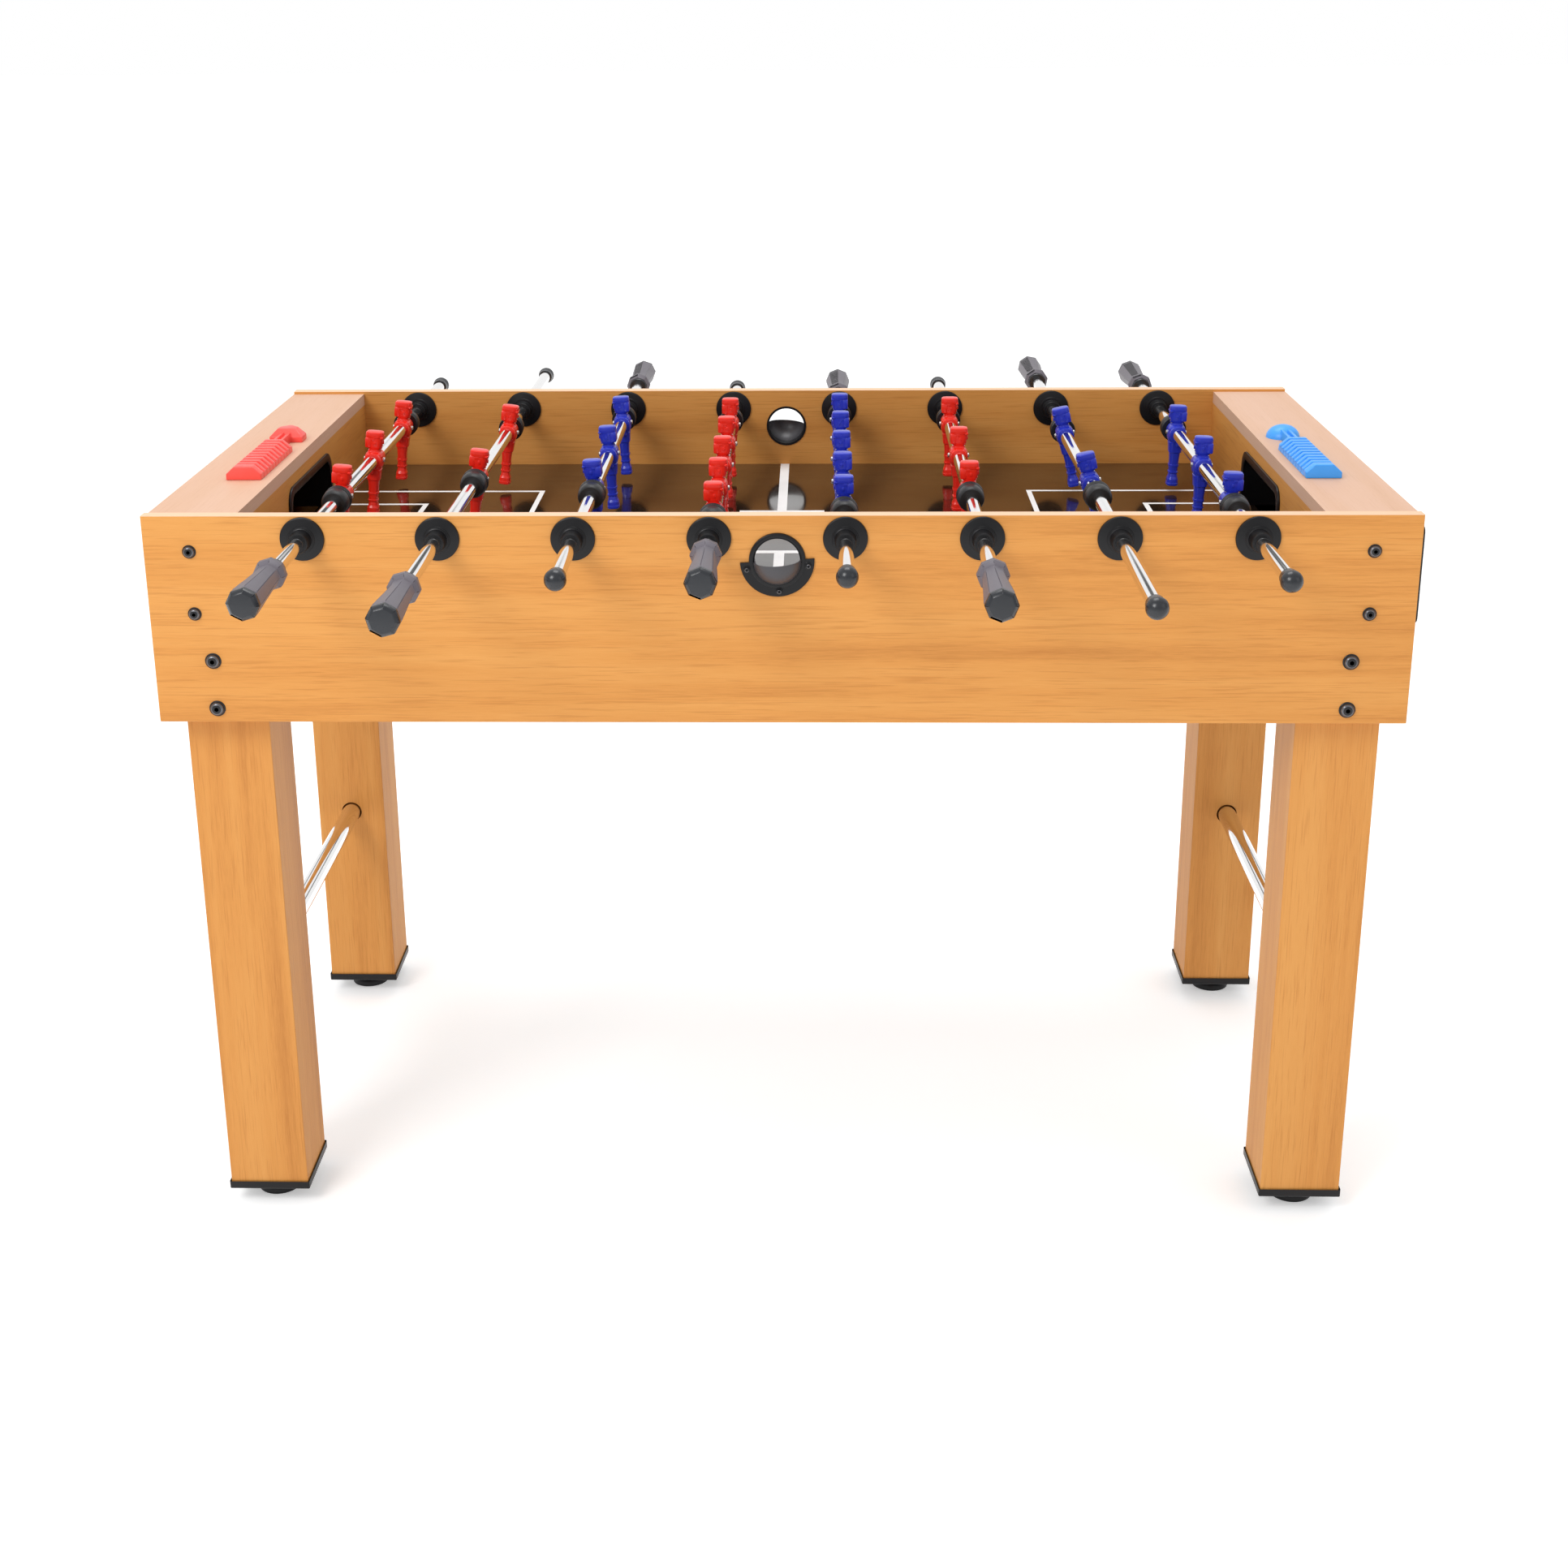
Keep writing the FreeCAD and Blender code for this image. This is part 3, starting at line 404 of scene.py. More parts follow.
def addPitchLines():
    shape = newShape()
    wide, half = linePaint["wide"], faceBack / mm - panelThick - linePaint["sideGap"]
    broad, middle, boxHalf = linePaint["wideMiddle"], linePaint["middle"], linePaint["boxHalf"]
    near, far = linePaint["boxNear"], linePaint["boxFar"]
    addStrip(shape, (middle - broad / 2, -half), (middle + broad / 2, near))
    addStrip(shape, (middle - broad / 2, far), (middle + broad / 2, half))
    addStrip(shape, (middle - boxHalf, near), (middle + boxHalf, near + broad))
    addStrip(shape, (middle - boxHalf, far - broad), (middle + boxHalf, far))
    for x in (middle - boxHalf, middle + boxHalf - broad):
        addStrip(shape, (x, near + broad), (x + broad, far - broad))
    end = fieldHigh.x / mm - linePaint["endInset"]
    for side in (-1, 1):
        for deep, across in (("outerDeep", "outerHalf"), ("innerDeep", "innerHalf")):
            reach, spread = end - linePaint[deep], linePaint[across]
            near, far = sorted((side * reach, side * end))
            addStrip(shape, (near, spread - wide), (far, spread))
            addStrip(shape, (near, -spread), (far, wide - spread))
            near, far = sorted((side * reach, side * (reach + wide)))
            addStrip(shape, (near, wide - spread), (far, spread - wide))
    finishPiece("pitch_lines", shape, "table", ["line"])


addPitchLines()
print("pitch lines painted")

# Bearings, retainers and the ball entries.
rodSize = {"radius": 7.95, "bore": 8.0, "wall": 1.5}
bearingOutline = [(rodSize["bore"], 14.9), (13.9, 14.9), (13.9, 0.1), (24, 0.1), (24, -2.0), (23.7, -2.6),
                  (23.0, -3.0), (21.8, -3.2), (14.6, -4.6), (14.2, -5.3), (13.2, -5.6), (12.9, -6.4),
                  (11.9, -6.9), (11.7, -12), (10.9, -22.2), (10.2, -23), (rodSize["bore"], -23)]
retainerOutline = [(rodSize["bore"], 0.1), (24, 0.1), (24, 2.6), (23.2, 3.4), (21.8, 3.7), (15.5, 4.9),
                   (15.0, 5.5), (12.4, 5.8), (12.2, 8.5), (11.7, 9.0), (11.4, 16.8), (10.8, 17.5),
                   (rodSize["bore"], 17.5)]


def addBearings(name, outline, depth):
    pattern = turnedPattern(outline, 64)
    group = newShape()
    for rod, x in rodX.items():
        stamp(group, pattern, place(x, faceFront + depth, rodZ))
        stamp(group, pattern, place(x, faceBack - depth, rodZ, flip=True))
    finishPiece(name, group, "table", ["black"], [name])


addBearings("rod_bearings", bearingOutline, 0)
addBearings("bearing_retainers", retainerOutline, panelThick * mm)

entrySize = {"ring": 30.5, "bore": 24.5, "flange": 40, "proud": 3, "high": 0.820, "tilt": 3.5,
             "screwRing": 34, "screwTurns": (193, 270, 347), "cupWall": 1.6,
             "cupStep": 4.5, "cupSteps": 20}


def arcPoints(radius, start, end, steps):
    turns = [math.radians(start + (end - start) * step / steps) for step in range(steps + 1)]
    return [(radius * math.cos(turn), radius * math.sin(turn)) for turn in turns]


def entryPattern():
    size = entrySize
    shape = newShape()
    ring, bore, proud, flange = size["ring"], size["bore"], size["proud"], size["flange"]
    liner, lip, back = bore + 1.4, panelThick + 1.4, 0.8 - proud
    outline = [(bore, lip), (bore, 1 - proud), (bore + 0.8, 0.2 - proud), (bore + 1.8, -proud),
               (ring - 1.2, -proud), (ring - 0.3, 0.5 - proud), (ring, 1.4 - proud), (ring, -0.1),
               (liner, -0.1), (liner, panelThick), (bore + 2.8, panelThick), (bore + 2.8, lip)]
    turnOutline(shape, outline, 72)
    moon = [(ring - 0.6, -0.1), (flange, -0.1), (flange, back + 0.5), (flange - 0.5, back), (ring - 0.6, back)]
    stamp(shape, turnedPattern(moon, 48, half=True), Matrix.Identity(4))
    seat = turnedPattern([(0, 1 - proud), (4.4, 1 - proud), (4.4, 0.4 - proud), (3.9, 0.1 - proud),
                          (0, 0.1 - proud)], 24)
    for turn in size["screwTurns"]:  # a raised seat under each screw
        angle = math.radians(turn)
        across, up = size["screwRing"] * math.cos(angle) * mm, size["screwRing"] * math.sin(angle) * mm
        stamp(shape, seat, Matrix.Translation((across, 0, up)))
    cup = []  # down the outer wall of a quarter bowl and back up the inner one
    steps = range(size["cupSteps"] + 1)
    for radius, order in ((bore + size["cupWall"], steps), (bore, reversed(steps))):
        for step in order:
            turn = math.radians(size["cupStep"] * step)
            cup.append((radius * math.sin(turn), -radius * math.cos(turn)))
    stamp(shape, turnedPattern(cup, 40, 1, half=True), Matrix.Identity(4))
    return asPattern(shape)


def addEntries():
    pattern = entryPattern()
    shape = newShape()
    for y, flip in ((faceFront, False), (faceBack, True)):
        turn = Matrix.Rotation(math.radians(-entrySize["tilt"]), 4, "Y")
        stamp(shape, pattern, place(0, y, entrySize["high"], flip=flip) @ turn)
    finishPiece("ball_entries", shape, "table", ["black", "cup"], ["ball_entries"], sharp=40)


addEntries()
print("bearings and ball entries fitted")

# Round-headed bolts with a washer and a hexagon socket: head radius, length and shaft radius of each.
boltSize = {"small": (7.5, 33, 4), "large": (9, 75, 4), "screw": (3, 10, 1.5), "washer": 1.2, "dome": 0.45}
# Each pair at a corner: which bolt, how far from the panel's end, and how far below its top, in metres.
boltPairs = (("small", 0.050, (0.040, 0.110)), ("large", 0.0655, (0.164, 0.219)))


def boltPattern(radius, length, shaft):
    shape = newShape()
    washer, high = boltSize["washer"], radius * boltSize["dome"]
    outline = [(0, length), (shaft, length - 1), (shaft, 0), (radius, 0), (radius, 0.5 - washer),
               (radius * 0.95, 0.1 - washer), (radius * 0.84, -washer), (radius * 0.82, -washer - high * 0.35),
               (radius * 0.72, -washer - high * 0.72), (radius * 0.56, -washer - high * 0.93),
               (radius * 0.42, -washer - high)]
    turnOutline(shape, outline, 32)
    rim = [edge for edge in shape.edges if edge.is_boundary]
    lower = bmesh.ops.create_circle(shape, cap_ends=False, radius=radius * 0.30 * mm, segments=6)["verts"]
    bmesh.ops.rotate(shape, verts=lower, cent=(0, 0, 0), matrix=Matrix.Rotation(math.pi / 2, 3, "X"))
    bmesh.ops.translate(shape, verts=lower, vec=(0, (-washer - high) * mm, 0))
    hexagon = list({edge for vert in lower for edge in vert.link_edges})
    bmesh.ops.bridge_loops(shape, edges=rim + hexagon)
    deep = vertsOf(bmesh.ops.extrude_edge_only(shape, edges=hexagon)["geom"])
    bmesh.ops.translate(shape, verts=deep, vec=(0, high * 0.8 * mm, 0))
    bmesh.ops.holes_fill(shape, edges=[edge for edge in shape.edges if edge.is_boundary], sides=0)
    # faces on the dome between half and four fifths of the head's radius take the second look, a painted
    # highlight ring
    for face in shape.faces:
        middle = face.calc_center_median() / mm
        if middle.y < -washer and radius * 0.5 < math.hypot(middle.x, middle.z) < radius * 0.8:
            face.material_index = 1
    return asPattern(shape)


def addBolts():
    shape = newShape()
    patterns = {kind: boltPattern(*boltSize[kind]) for kind in ("small", "large", "screw")}
    half, top = sideHigh.x, sideHigh.z
    for y, flip in ((faceFront, False), (faceBack, True)):
        for side in (-1, 1):
            for kind, inset, drops in boltPairs:
                for drop in drops:
                    stamp(shape, patterns[kind], place(side * (half - inset), y, top - drop, flip=flip))
        facing = -1 if flip else 1
        for turn in entrySize["screwTurns"]:
            angle = math.radians(turn + entrySize["tilt"])
            x = facing * entrySize["screwRing"] * mm * math.cos(angle)
            z = entrySize["high"] + entrySize["screwRing"] * mm * math.sin(angle)
            face = y - facing * (entrySize["proud"] - 0.1) * mm
            stamp(shape, patterns["screw"], place(x, face, z, flip=flip))
    finishPiece("cabinet_bolts", shape, "table", ["bolt", "boltHighlightRing"], ["cabinet_bolts"])


addBolts()
print("bolts driven")


# A body grown ring by ring along +Z: each station is height, half width in X and half width in Y.
def growBody(shape, stations, corner=0.6, rounding=4, sides=0):
    before = set(shape.faces)
    if sides:
        bmesh.ops.create_circle(shape, cap_ends=True, radius=1, segments=sides)
    else:
        made = bmesh.ops.create_grid(shape, x_segments=1, y_segments=1, size=1)["verts"]
        bmesh.ops.bevel(shape, geom=made, offset=corner, segments=rounding, profile=0.5, affect="VERTICES",
                        material=-1, clamp_overlap=True)
    face = next(iter(set(shape.faces) - before))
    low, halfX, halfY = 0, 1, 1
    for index, (high, newX, newY) in enumerate(stations):
        if index:
            pulled = bmesh.ops.extrude_face_region(shape, geom=[face])["geom"]
            face = next(item for item in pulled if isinstance(item, bmesh.types.BMFace))
        bmesh.ops.translate(shape, verts=face.verts, vec=(0, 0, (high - low) * mm))
        step = mm if index == 0 else 1
        bmesh.ops.scale(shape, verts=face.verts, vec=(newX / halfX * step, newY / halfY * step, 1))
        low, halfX, halfY = high, newX, newY


# Players: grown from the boots up, facing +X, with the rod's axis at the origin.
playerSize = {"shoulder": 17, "pinHalf": 11.2, "pinHead": 2.8, "pinProud": 2.4}
bodyStations = [(-70, 6.6, 9.0), (-69.2, 7.4, 9.9), (-66.5, 7.5, 10), (-66, 7.1, 9.6), (-61.5, 7.0, 9.2),
                (-58.5, 5.9, 7.9), (-54.5, 5.2, 7.0), (-53.3, 5.2, 7.0), (-52.9, 6.2, 8.0), (-51.2, 6.2, 8.0),
                (-50.8, 5.3, 7.1), (-44.6, 5.6, 7.4), (-44.2, 6.4, 8.2), (-42.0, 6.4, 8.2), (-41.6, 5.7, 7.5),
                (-34, 6.0, 8.2), (-26, 6.8, 9.2), (-25.4, 8.0, 10.2), (-18, 8.6, 10.8), (-12.4, 9.3, 11.6),
                (-11.8, 8.7, 11.0), (-10.4, 8.8, 11.2), (-9.8, 9.8, 12.4), (-6, 11.0, 13.6), (1, 11.3, 14.2),
                (5.5, 10.9, 14.4), (8.4, 9.4, 13.6), (10.2, 7.8, 10.6), (10.9, 7.9, 8.2), (12.0, 7.8, 8.0),
                (12.4, 6.4, 6.4), (13.2, 6.6, 6.4), (14.2, 8.0, 7.0), (16.6, 9.0, 7.8), (21, 9.9, 8.3),
                (27.6, 10.2, 8.5), (28.2, 10.9, 8.9), (31, 11.0, 9.0), (34.0, 10.7, 8.7), (35.1, 9.9, 8.0),
                (35.5, 8.4, 6.6)]
armStations = [(-16, 2.4, 1.4), (-14.6, 3.5, 2.2), (-10, 3.6, 2.3), (-9.4, 2.9, 1.9), (-2, 3.3, 2.1),
               (-1.6, 4.2, 2.35), (5, 4.4, 2.35), (8.4, 3.6, 1.9), (9.8, 1.9, 1.0)]
# Hair, fringe, nose, mouth and chin: opposite corners, and how far the edges are rounded.
faceBlocks = [((-11.0, -8.9, 15.5), (-3.6, 8.9, 28.6), 1.8), ((-4.6, -8.8, 24.0), (0.8, 8.8, 28.8), 1.2),
              ((7.5, -8.4, 27.0), (11.2, -2.4, 29.6), 0.8), ((7.5, -3.4, 26.2), (11.3, 3.2, 29.6), 0.8),
              ((7.5, 2.2, 27.2), (11.2, 8.4, 29.6), 0.8), ((8.6, -1.1, 19.6), (11.4, 1.1, 24.2), 0.7),
              ((8.0, -2.9, 16.7), (9.9, 2.9, 17.7), 0.35), ((6.6, -3.2, 13.4), (9.0, 3.2, 15.2), 0.8)]


def playerPattern():
    shape = newShape()
    growBody(shape, bodyStations)
    for side in (-1, 1):
        arm = newShape()
        growBody(arm, armStations, 0.8, 3)
        bend = Matrix.Translation((0, side * 14.6 * mm, 0)) @ Matrix.Rotation(math.radians(8), 4, "Y")
        stamp(shape, asPattern(arm), bend)
        ear = newShape()
        addBlock(ear, (-1.7, -0.7, -2.1), (1.1, 0.7, 2.1), 0.55)
        stamp(shape, asPattern(ear), Matrix.Translation((1.6 * mm, side * 8.4 * mm, 21.4 * mm)))
        eye = newShape()
        bmesh.ops.create_uvsphere(eye, u_segments=12, v_segments=8, radius=1.15 * mm)
        stamp(shape, asPattern(eye), Matrix.Translation((9.5 * mm, side * 3.3 * mm, 23.4 * mm)))
        brow = newShape()
        addBlock(brow, (-0.7, -2.0, -0.45), (0.7, 2.0, 0.45), 0.35)
        stamp(shape, asPattern(brow), Matrix.Translation((10.0 * mm, side * 3.3 * mm, 25.4 * mm)))
    for low, high, soft in faceBlocks:
        addBlock(shape, low, high, soft)
    half = playerSize["shoulder"]
    collar = [(8.0, -half), (9.9, -half), (10.5, 0.6 - half), (10.5, half - 0.6), (9.9, half), (8.0, half)]
    turnOutline(shape, collar, 40)
    return asPattern(shape)


def pinPattern():
    half, head, proud = playerSize["pinHalf"], playerSize["pinHead"], playerSize["pinProud"]
    tip = half + proud
    outline = [(0, -tip), (head * 0.5, 0.05 - tip), (head * 0.85, 0.4 - tip), (head, 1 - tip),
               (head, 0.3 - half), (1.5, 0.3 - half), (1.5, half - 0.3), (head, half - 0.3), (head, tip - 1),
               (head * 0.85, tip - 0.4), (head * 0.5, tip - 0.05), (0, tip)]
    turned = newShape()
    stamp(turned, turnedPattern(outline, 20), Matrix.Rotation(math.pi / 2, 4, "Z"))
    return asPattern(turned)


bumperOutline = [(8.0, 0.1)]
for ridge in range(3):
    start = 4 * ridge
    bumperOutline += [(15.2, start + 0.1), (15.8, start + 0.5), (16, start + 1.2), (15.8, start + 2.2),
                      (15.2, start + 2.7), (14.8, start + 3.1), (14.8, start + 3.7)]
bumperOutline += [(15.5, 12.3), (15.6, 13.5), (15.3, 21), (14.6, 24.5), (13.5, 27), (12.5, 28), (8.0, 28)]

# Handle, its outer end at Z = 0 and the rod entering from +Z; the octagon has a corner uppermost.
capStations = [(0, 7.5), (0.5, 12.5), (2.2, 14.9), (4.2, 16.7), (5.2, 17), (8.6, 17), (9, 16.6)]
gripStations = [(9.1, 16.4), (9.6, 16.9), (15, 17), (30, 16.2), (59, 14.4), (90, 12.8), (104, 12.7),
                (107, 15.4), (110, 17), (117, 17), (118.5, 16.4), (123, 13.4)]
coreOutline = [(0, 122.5), (12, 122.5), (12.2, 123.5), (12.2, 128.8), (11.4, 130), (8, 130), (8, 122.5)]
knobOutline = [(0, 0), (3.0, 0.4), (5.75, 1.54), (8.1, 3.4), (9.96, 5.75), (11.1, 8.5), (11.5, 11.5),
               (11.1, 14.3), (10.2, 16.6), (9.9, 18), (9.8, 24.6), (9.3, 25.5), (7.95, 25.5)]
rodTurns = {1: 5, 2: 7, 3: -3, 4: 0, 5: 0, 6: 0, 7: -12, 8: 2}  # degrees off plumb
playerCounts = {1: 3, 2: 2, 3: 3, 4: 5, 5: 5, 6: 3, 7: 2, 8: 3}
redRods = (1, 2, 4, 6)


def octagonPattern(stations, bevel):
    shape = newShape()
    growBody(shape, [(high, radius, radius) for high, radius in stations], sides=8)
    along = [edge for edge in shape.edges if abs((edge.verts[0].co - edge.verts[1].co).z) > 0.2 * mm]
    soften(shape, along, bevel)
    return asPattern(shape)


def addRods():
    player, pin = playerPattern(), pinPattern()
    cap, grip = octagonPattern(capStations, 0.5), octagonPattern(gripStations, 0.7)
    core, knob = turnedPattern(coreOutline, 40), turnedPattern(knobOutline, 40)
    bumper = turnedPattern(bumperOutline, 56)
    bumperLong = bumperOutline[-1][1] * mm
    for rod, turn in rodTurns.items():
        x, red = rodX[rod], rod in redRods
        colour = "red" if red else "blue"
        spinner, slider = f"rod_{rod}_spinner", f"rod_{rod}_slider"
        low, high = rodBoxes[rod]
        inner, outer = rodSize["radius"] - rodSize["wall"], rodSize["radius"]
        span = (high.y - low.y) / mm
        tube = turnedPattern([(inner, 0), (outer, 0), (outer, span), (inner, span)])
        shape = newShape()
        stamp(shape, tube, place(x, low.y, rodZ, turn))
        finishPiece(f"rod_{rod}_tube", shape, spinner, ["chrome"], [f"rod_{rod}_tube"])

        low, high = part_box(f"rod_{rod}_players")
        reach = playerSize["shoulder"] * mm
        first, last = low.y + reach, high.y - reach
        count = playerCounts[rod]
        people, pins = newShape(), newShape()
        for index in range(count):
            y = first + (last - first) * index / (count - 1)
            stamp(people, player, place(x, y, rodZ, turn) @ Matrix.Rotation(0 if red else math.pi, 4, "Z"))
            stamp(pins, pin, place(x, y, rodZ, turn))
        finishPiece(f"rod_{rod}_players", people, spinner, [colour],
                    [f"rod_{rod}_players"], 38)
        finishPiece(f"rod_{rod}_player_pins", pins, spinner, ["steel"])

        low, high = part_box(f"rod_{rod}_bumpers")
        shape = newShape()
        stamp(shape, bumper, place(x, high.y - bumperLong, rodZ))
        stamp(shape, bumper, place(x, low.y + bumperLong, rodZ, flip=True))
        finishPiece(f"rod_{rod}_bumpers", shape, slider, ["rubber"], [f"rod_{rod}_bumpers"])

        low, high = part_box(f"rod_{rod}_handle")
        end, tip = (low.y, high.y) if red else (high.y, low.y)
        upright = Matrix.Rotation(math.radians(-90 if red else 90), 4, "X")
        ends = newShape()
        stamp(ends, cap, place(x, end, rodZ, turn) @ upright)
        stamp(ends, core, place(x, end, rodZ, turn, flip=not red))
        stamp(ends, knob, place(x, tip, rodZ, turn, flip=red))
        finishPiece(f"rod_{rod}_handle_ends", ends, spinner, ["gripEnd"], sharp=25)
        shape = newShape()
        stamp(shape, grip, place(x, end, rodZ, turn) @ upright)
        finishPiece(f"rod_{rod}_grip", shape, spinner, ["grip"], [f"rod_{rod}_handle"], 25)


addRods()
print("rods and players fitted")

# Goal frames: a rounded surround, a liner through the wall and a hood behind.
goalSize = {"half": 104, "top": 64, "band": 10, "liner": 2, "round": 16, "proud": 3, "hood": 58,
            "hoodFoot": 26}


def archPoints(half, top, radius, foot=0.0):
    points = [(-half, foot)]
    for start, x in ((180, radius - half), (90, half - radius)):
        points += [(x + a, top - radius + b) for a, b in arcPoints(radius, start, start - 90, 8)]
    return points + [(half, foot)]


def addGoals():
    size = goalSize
    innerHalf, innerTop = size["half"] - size["liner"], size["top"] - size["liner"]
    outerHalf, outerTop = innerHalf + size["band"], innerTop + size["band"]
    inner = archPoints(innerHalf, innerTop, size["round"])
    shape = newShape()
    surround = archPoints(outerHalf, outerTop, size["round"] + 6) + list(reversed(inner))
    outlinePrism(shape, surround, 0, -size["proud"], "YZ", 0.8)
    liner = archPoints(size["half"], size["top"], size["round"] + 1) + list(reversed(inner))
    hoodEnd = panelThick + size["hood"]
    outlinePrism(shape, liner, 0.1, hoodEnd - size["liner"], "YZ")
    hoodBack = archPoints(size["half"], size["top"], size["round"] + 1, size["hoodFoot"])
    outlinePrism(shape, hoodBack, hoodEnd - size["liner"], hoodEnd, "YZ")
    pattern = asPattern(shape)
    shape = newShape()
    wall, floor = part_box("right_goal_panel")[0].x, fieldHigh.z
    stamp(shape, pattern, place(wall, 0, floor))
    stamp(shape, pattern, place(-wall, 0, floor, flip=True))
    finishPiece("goal_frames", shape, "table", ["black"], ["goal_frames"], 40)


addGoals()

# Ball returns: a framed cup on each end panel, and the sloping tray behind each goal.
returnSize = {"low": 741, "high": 850, "near": -336, "far": -262, "proud": 13, "wall": 10.5, "lip": 775,
              "roof": 842, "round": 7, "soft": 1.6, "shelfBack": -14, "shelfFront": 3, "shelfLow": 745,
              "shelfHigh": 749, "trayNear": 602.2, "trayFar": 665.8}
trayOutline = [(-324.8, 738), (324.8, 751), (324.8, 755), (-324.8, 742)]


def roundedBox(low, high, radius, steps=6):
    points = []
    for turn, across, up in ((0, 1, 1), (90, 0, 1), (180, 0, 0), (270, 1, 0)):
        centreX = high[0] - radius if across else low[0] + radius
        centreY = high[1] - radius if up else low[1] + radius
        points += [(centreX + a, centreY + b) for a, b in arcPoints(radius, turn, turn + 90, steps)]
    return points


def addReturns():
    size = returnSize
    shape = newShape()
    low, high = (size["near"], size["low"]), (size["far"], size["high"])
    innerLow = (size["near"] + size["wall"], size["lip"])
    innerHigh = (size["far"] - size["wall"], size["roof"])
    frame = newShape()
    loops = []
    for points in (roundedBox(low, high, size["round"]), roundedBox(innerLow, innerHigh, 4)):
        corners = [frame.verts.new((0, y * mm, z * mm)) for y, z in points]
        loops += [frame.edges.new((a, b)) for a, b in zip(corners, corners[1:] + corners[:1])]
    bmesh.ops.bridge_loops(frame, edges=loops)
    moved = vertsOf(bmesh.ops.extrude_face_region(frame, geom=list(frame.faces))["geom"])
    bmesh.ops.translate(frame, verts=moved, vec=(size["proud"] * mm, 0, 0))
    rims = [edge for edge in frame.edges if abs(edge.verts[0].co.x - edge.verts[1].co.x) < tiny
            and edge.verts[0].co.x > 1e-4 and len(edge.link_faces) == 2
            and abs(edge.link_faces[0].normal.dot(edge.link_faces[1].normal)) < 0.5]
    soften(frame, rims, size["soft"], 3)
    stamp(shape, asPattern(frame), Matrix.Identity(4))
    addBlock(shape, (size["shelfBack"], innerLow[0] - 1, size["shelfLow"]),
             (size["shelfFront"], innerHigh[0] + 1, size["shelfHigh"]), 0.8)
    pattern = asPattern(shape)
    shape = newShape()
    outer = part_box("end_panels")[1].x
    stamp(shape, pattern, place(outer, 0, 0))
    stamp(shape, pattern, place(-outer, 0, 0, flip=True))
    tray = newShape()
    outlinePrism(tray, trayOutline, size["trayNear"], size["trayFar"], "YZ", 0.8)
    trayPattern = asPattern(tray)
    stamp(shape, trayPattern, Matrix.Identity(4))
    stamp(shape, trayPattern, Matrix.Rotation(math.pi, 4, "Z"))
    finishPiece("ball_returns", shape, "table", ["black"], ["ball_returns"], 40)


addReturns()
print("goals and ball returns fitted")

# Leg caps, levellers and stretchers.
footSize = {"stem": 5, "stemTop": 75, "capLow": 22, "capHigh": 32, "capWall": 2, "capFloor": 2.5,
            "capSoft": 1.6, "legHalf": 46.5, "stretcherWall": 1.2}
padOutline = [(0, 0), (24.6, 0), (25.6, 0.5), (26, 1.6), (26, 4), (24.6, 8.6), (22.4, 11), (19, 12), (0, 12)]
nutStations = [(12, 10.2, 10.2), (12.6, 11, 11), (21, 11, 11), (21.6, 10.2, 10.2)]


def addFeet():
    size = footSize
    shape = newShape()
    turnOutline(shape, padOutline, 56)
    stem, top = size["stem"], size["stemTop"]
    turnOutline(shape, [(0, 11.5), (stem, 11.5), (stem, top - 1), (stem - 1, top), (0, top)], 24)
    pattern = asPattern(shape)
    shape = newShape()
    stamp(shape, pattern, Matrix.Rotation(math.pi / 2, 4, "X"))
    nut = newShape()
    growBody(nut, nutStations, sides=6)
    stamp(shape, asPattern(nut), Matrix.Identity(4))
    foot = asPattern(shape)
    cap = newShape()
    half, capLow, capHigh = size["legHalf"] + size["capWall"], size["capLow"], size["capHigh"]
    made = bmesh.ops.create_cube(cap, size=1)["verts"]
    bmesh.ops.scale(cap, verts=made, vec=Vector((2 * half, 2 * half, capHigh - capLow)) * mm)
    bmesh.ops.translate(cap, verts=made, vec=(0, 0, (capHigh + capLow) / 2 * mm))
    rims = [edge for edge in cap.edges if min(vert.co.z for vert in edge.verts) < capHigh * mm - tiny]
    soften(cap, rims, size["capSoft"], 3)
    top = max(cap.faces, key=lambda face: face.calc_center_median().z)
    bmesh.ops.inset_region(cap, faces=[top], thickness=size["capWall"] * mm, use_even_offset=True)
    bmesh.ops.translate(cap, verts=top.verts, vec=(0, 0, (capLow + size["capFloor"] - capHigh) * mm))
    capPattern = asPattern(cap)
    caps = newShape()
    for side in ("front", "back"):
        for end in ("left", "right"):
            low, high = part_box(f"{side}_{end}_leg")
            x, y = (low.x + high.x) / 2, (low.y + high.y) / 2
            stamp(caps, capPattern, Matrix.Translation((x, y, 0)))
            shape = newShape()
            stamp(shape, foot, Matrix.Translation((x, y, 0)))
            finishPiece(f"{side}_{end}_leveller", shape, f"{side}_{end}_foot", ["black"],
                        [f"{side}_{end}_leveller"])
    finishPiece("leg_end_caps", caps, "table", ["black"], ["leg_end_caps"])
    low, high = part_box("leg_stretchers")
    long, radius = (high.y - low.y) / mm, (high.z - low.z) / mm / 2
    inner = radius - size["stretcherWall"]
    pattern = turnedPattern([(inner, 0), (radius, 0), (radius, long), (inner, long)])
    shape = newShape()
    for x in (low.x + radius * mm, high.x - radius * mm):
        stamp(shape, pattern, Matrix.Translation((x, low.y, (low.z + high.z) / 2)))
    finishPiece("leg_stretchers", shape, "table", ["chrome"], ["leg_stretchers"])


addFeet()
print("feet fitted")

# Scorers: a rail with two ends, and ten beads along it.
scorerSize = {"across": 620, "half": 20.5, "ridge": 10.5, "high": 16, "edge": 7, "near": -177, "far": 68,
              "end": 14, "rail": 6, "railHigh": 12, "groove": 2.5, "grooveDeep": 4, "count": 10,
              "pitch": 14, "thick": 12.6, "gap": 0.4, "foot": 2.2}


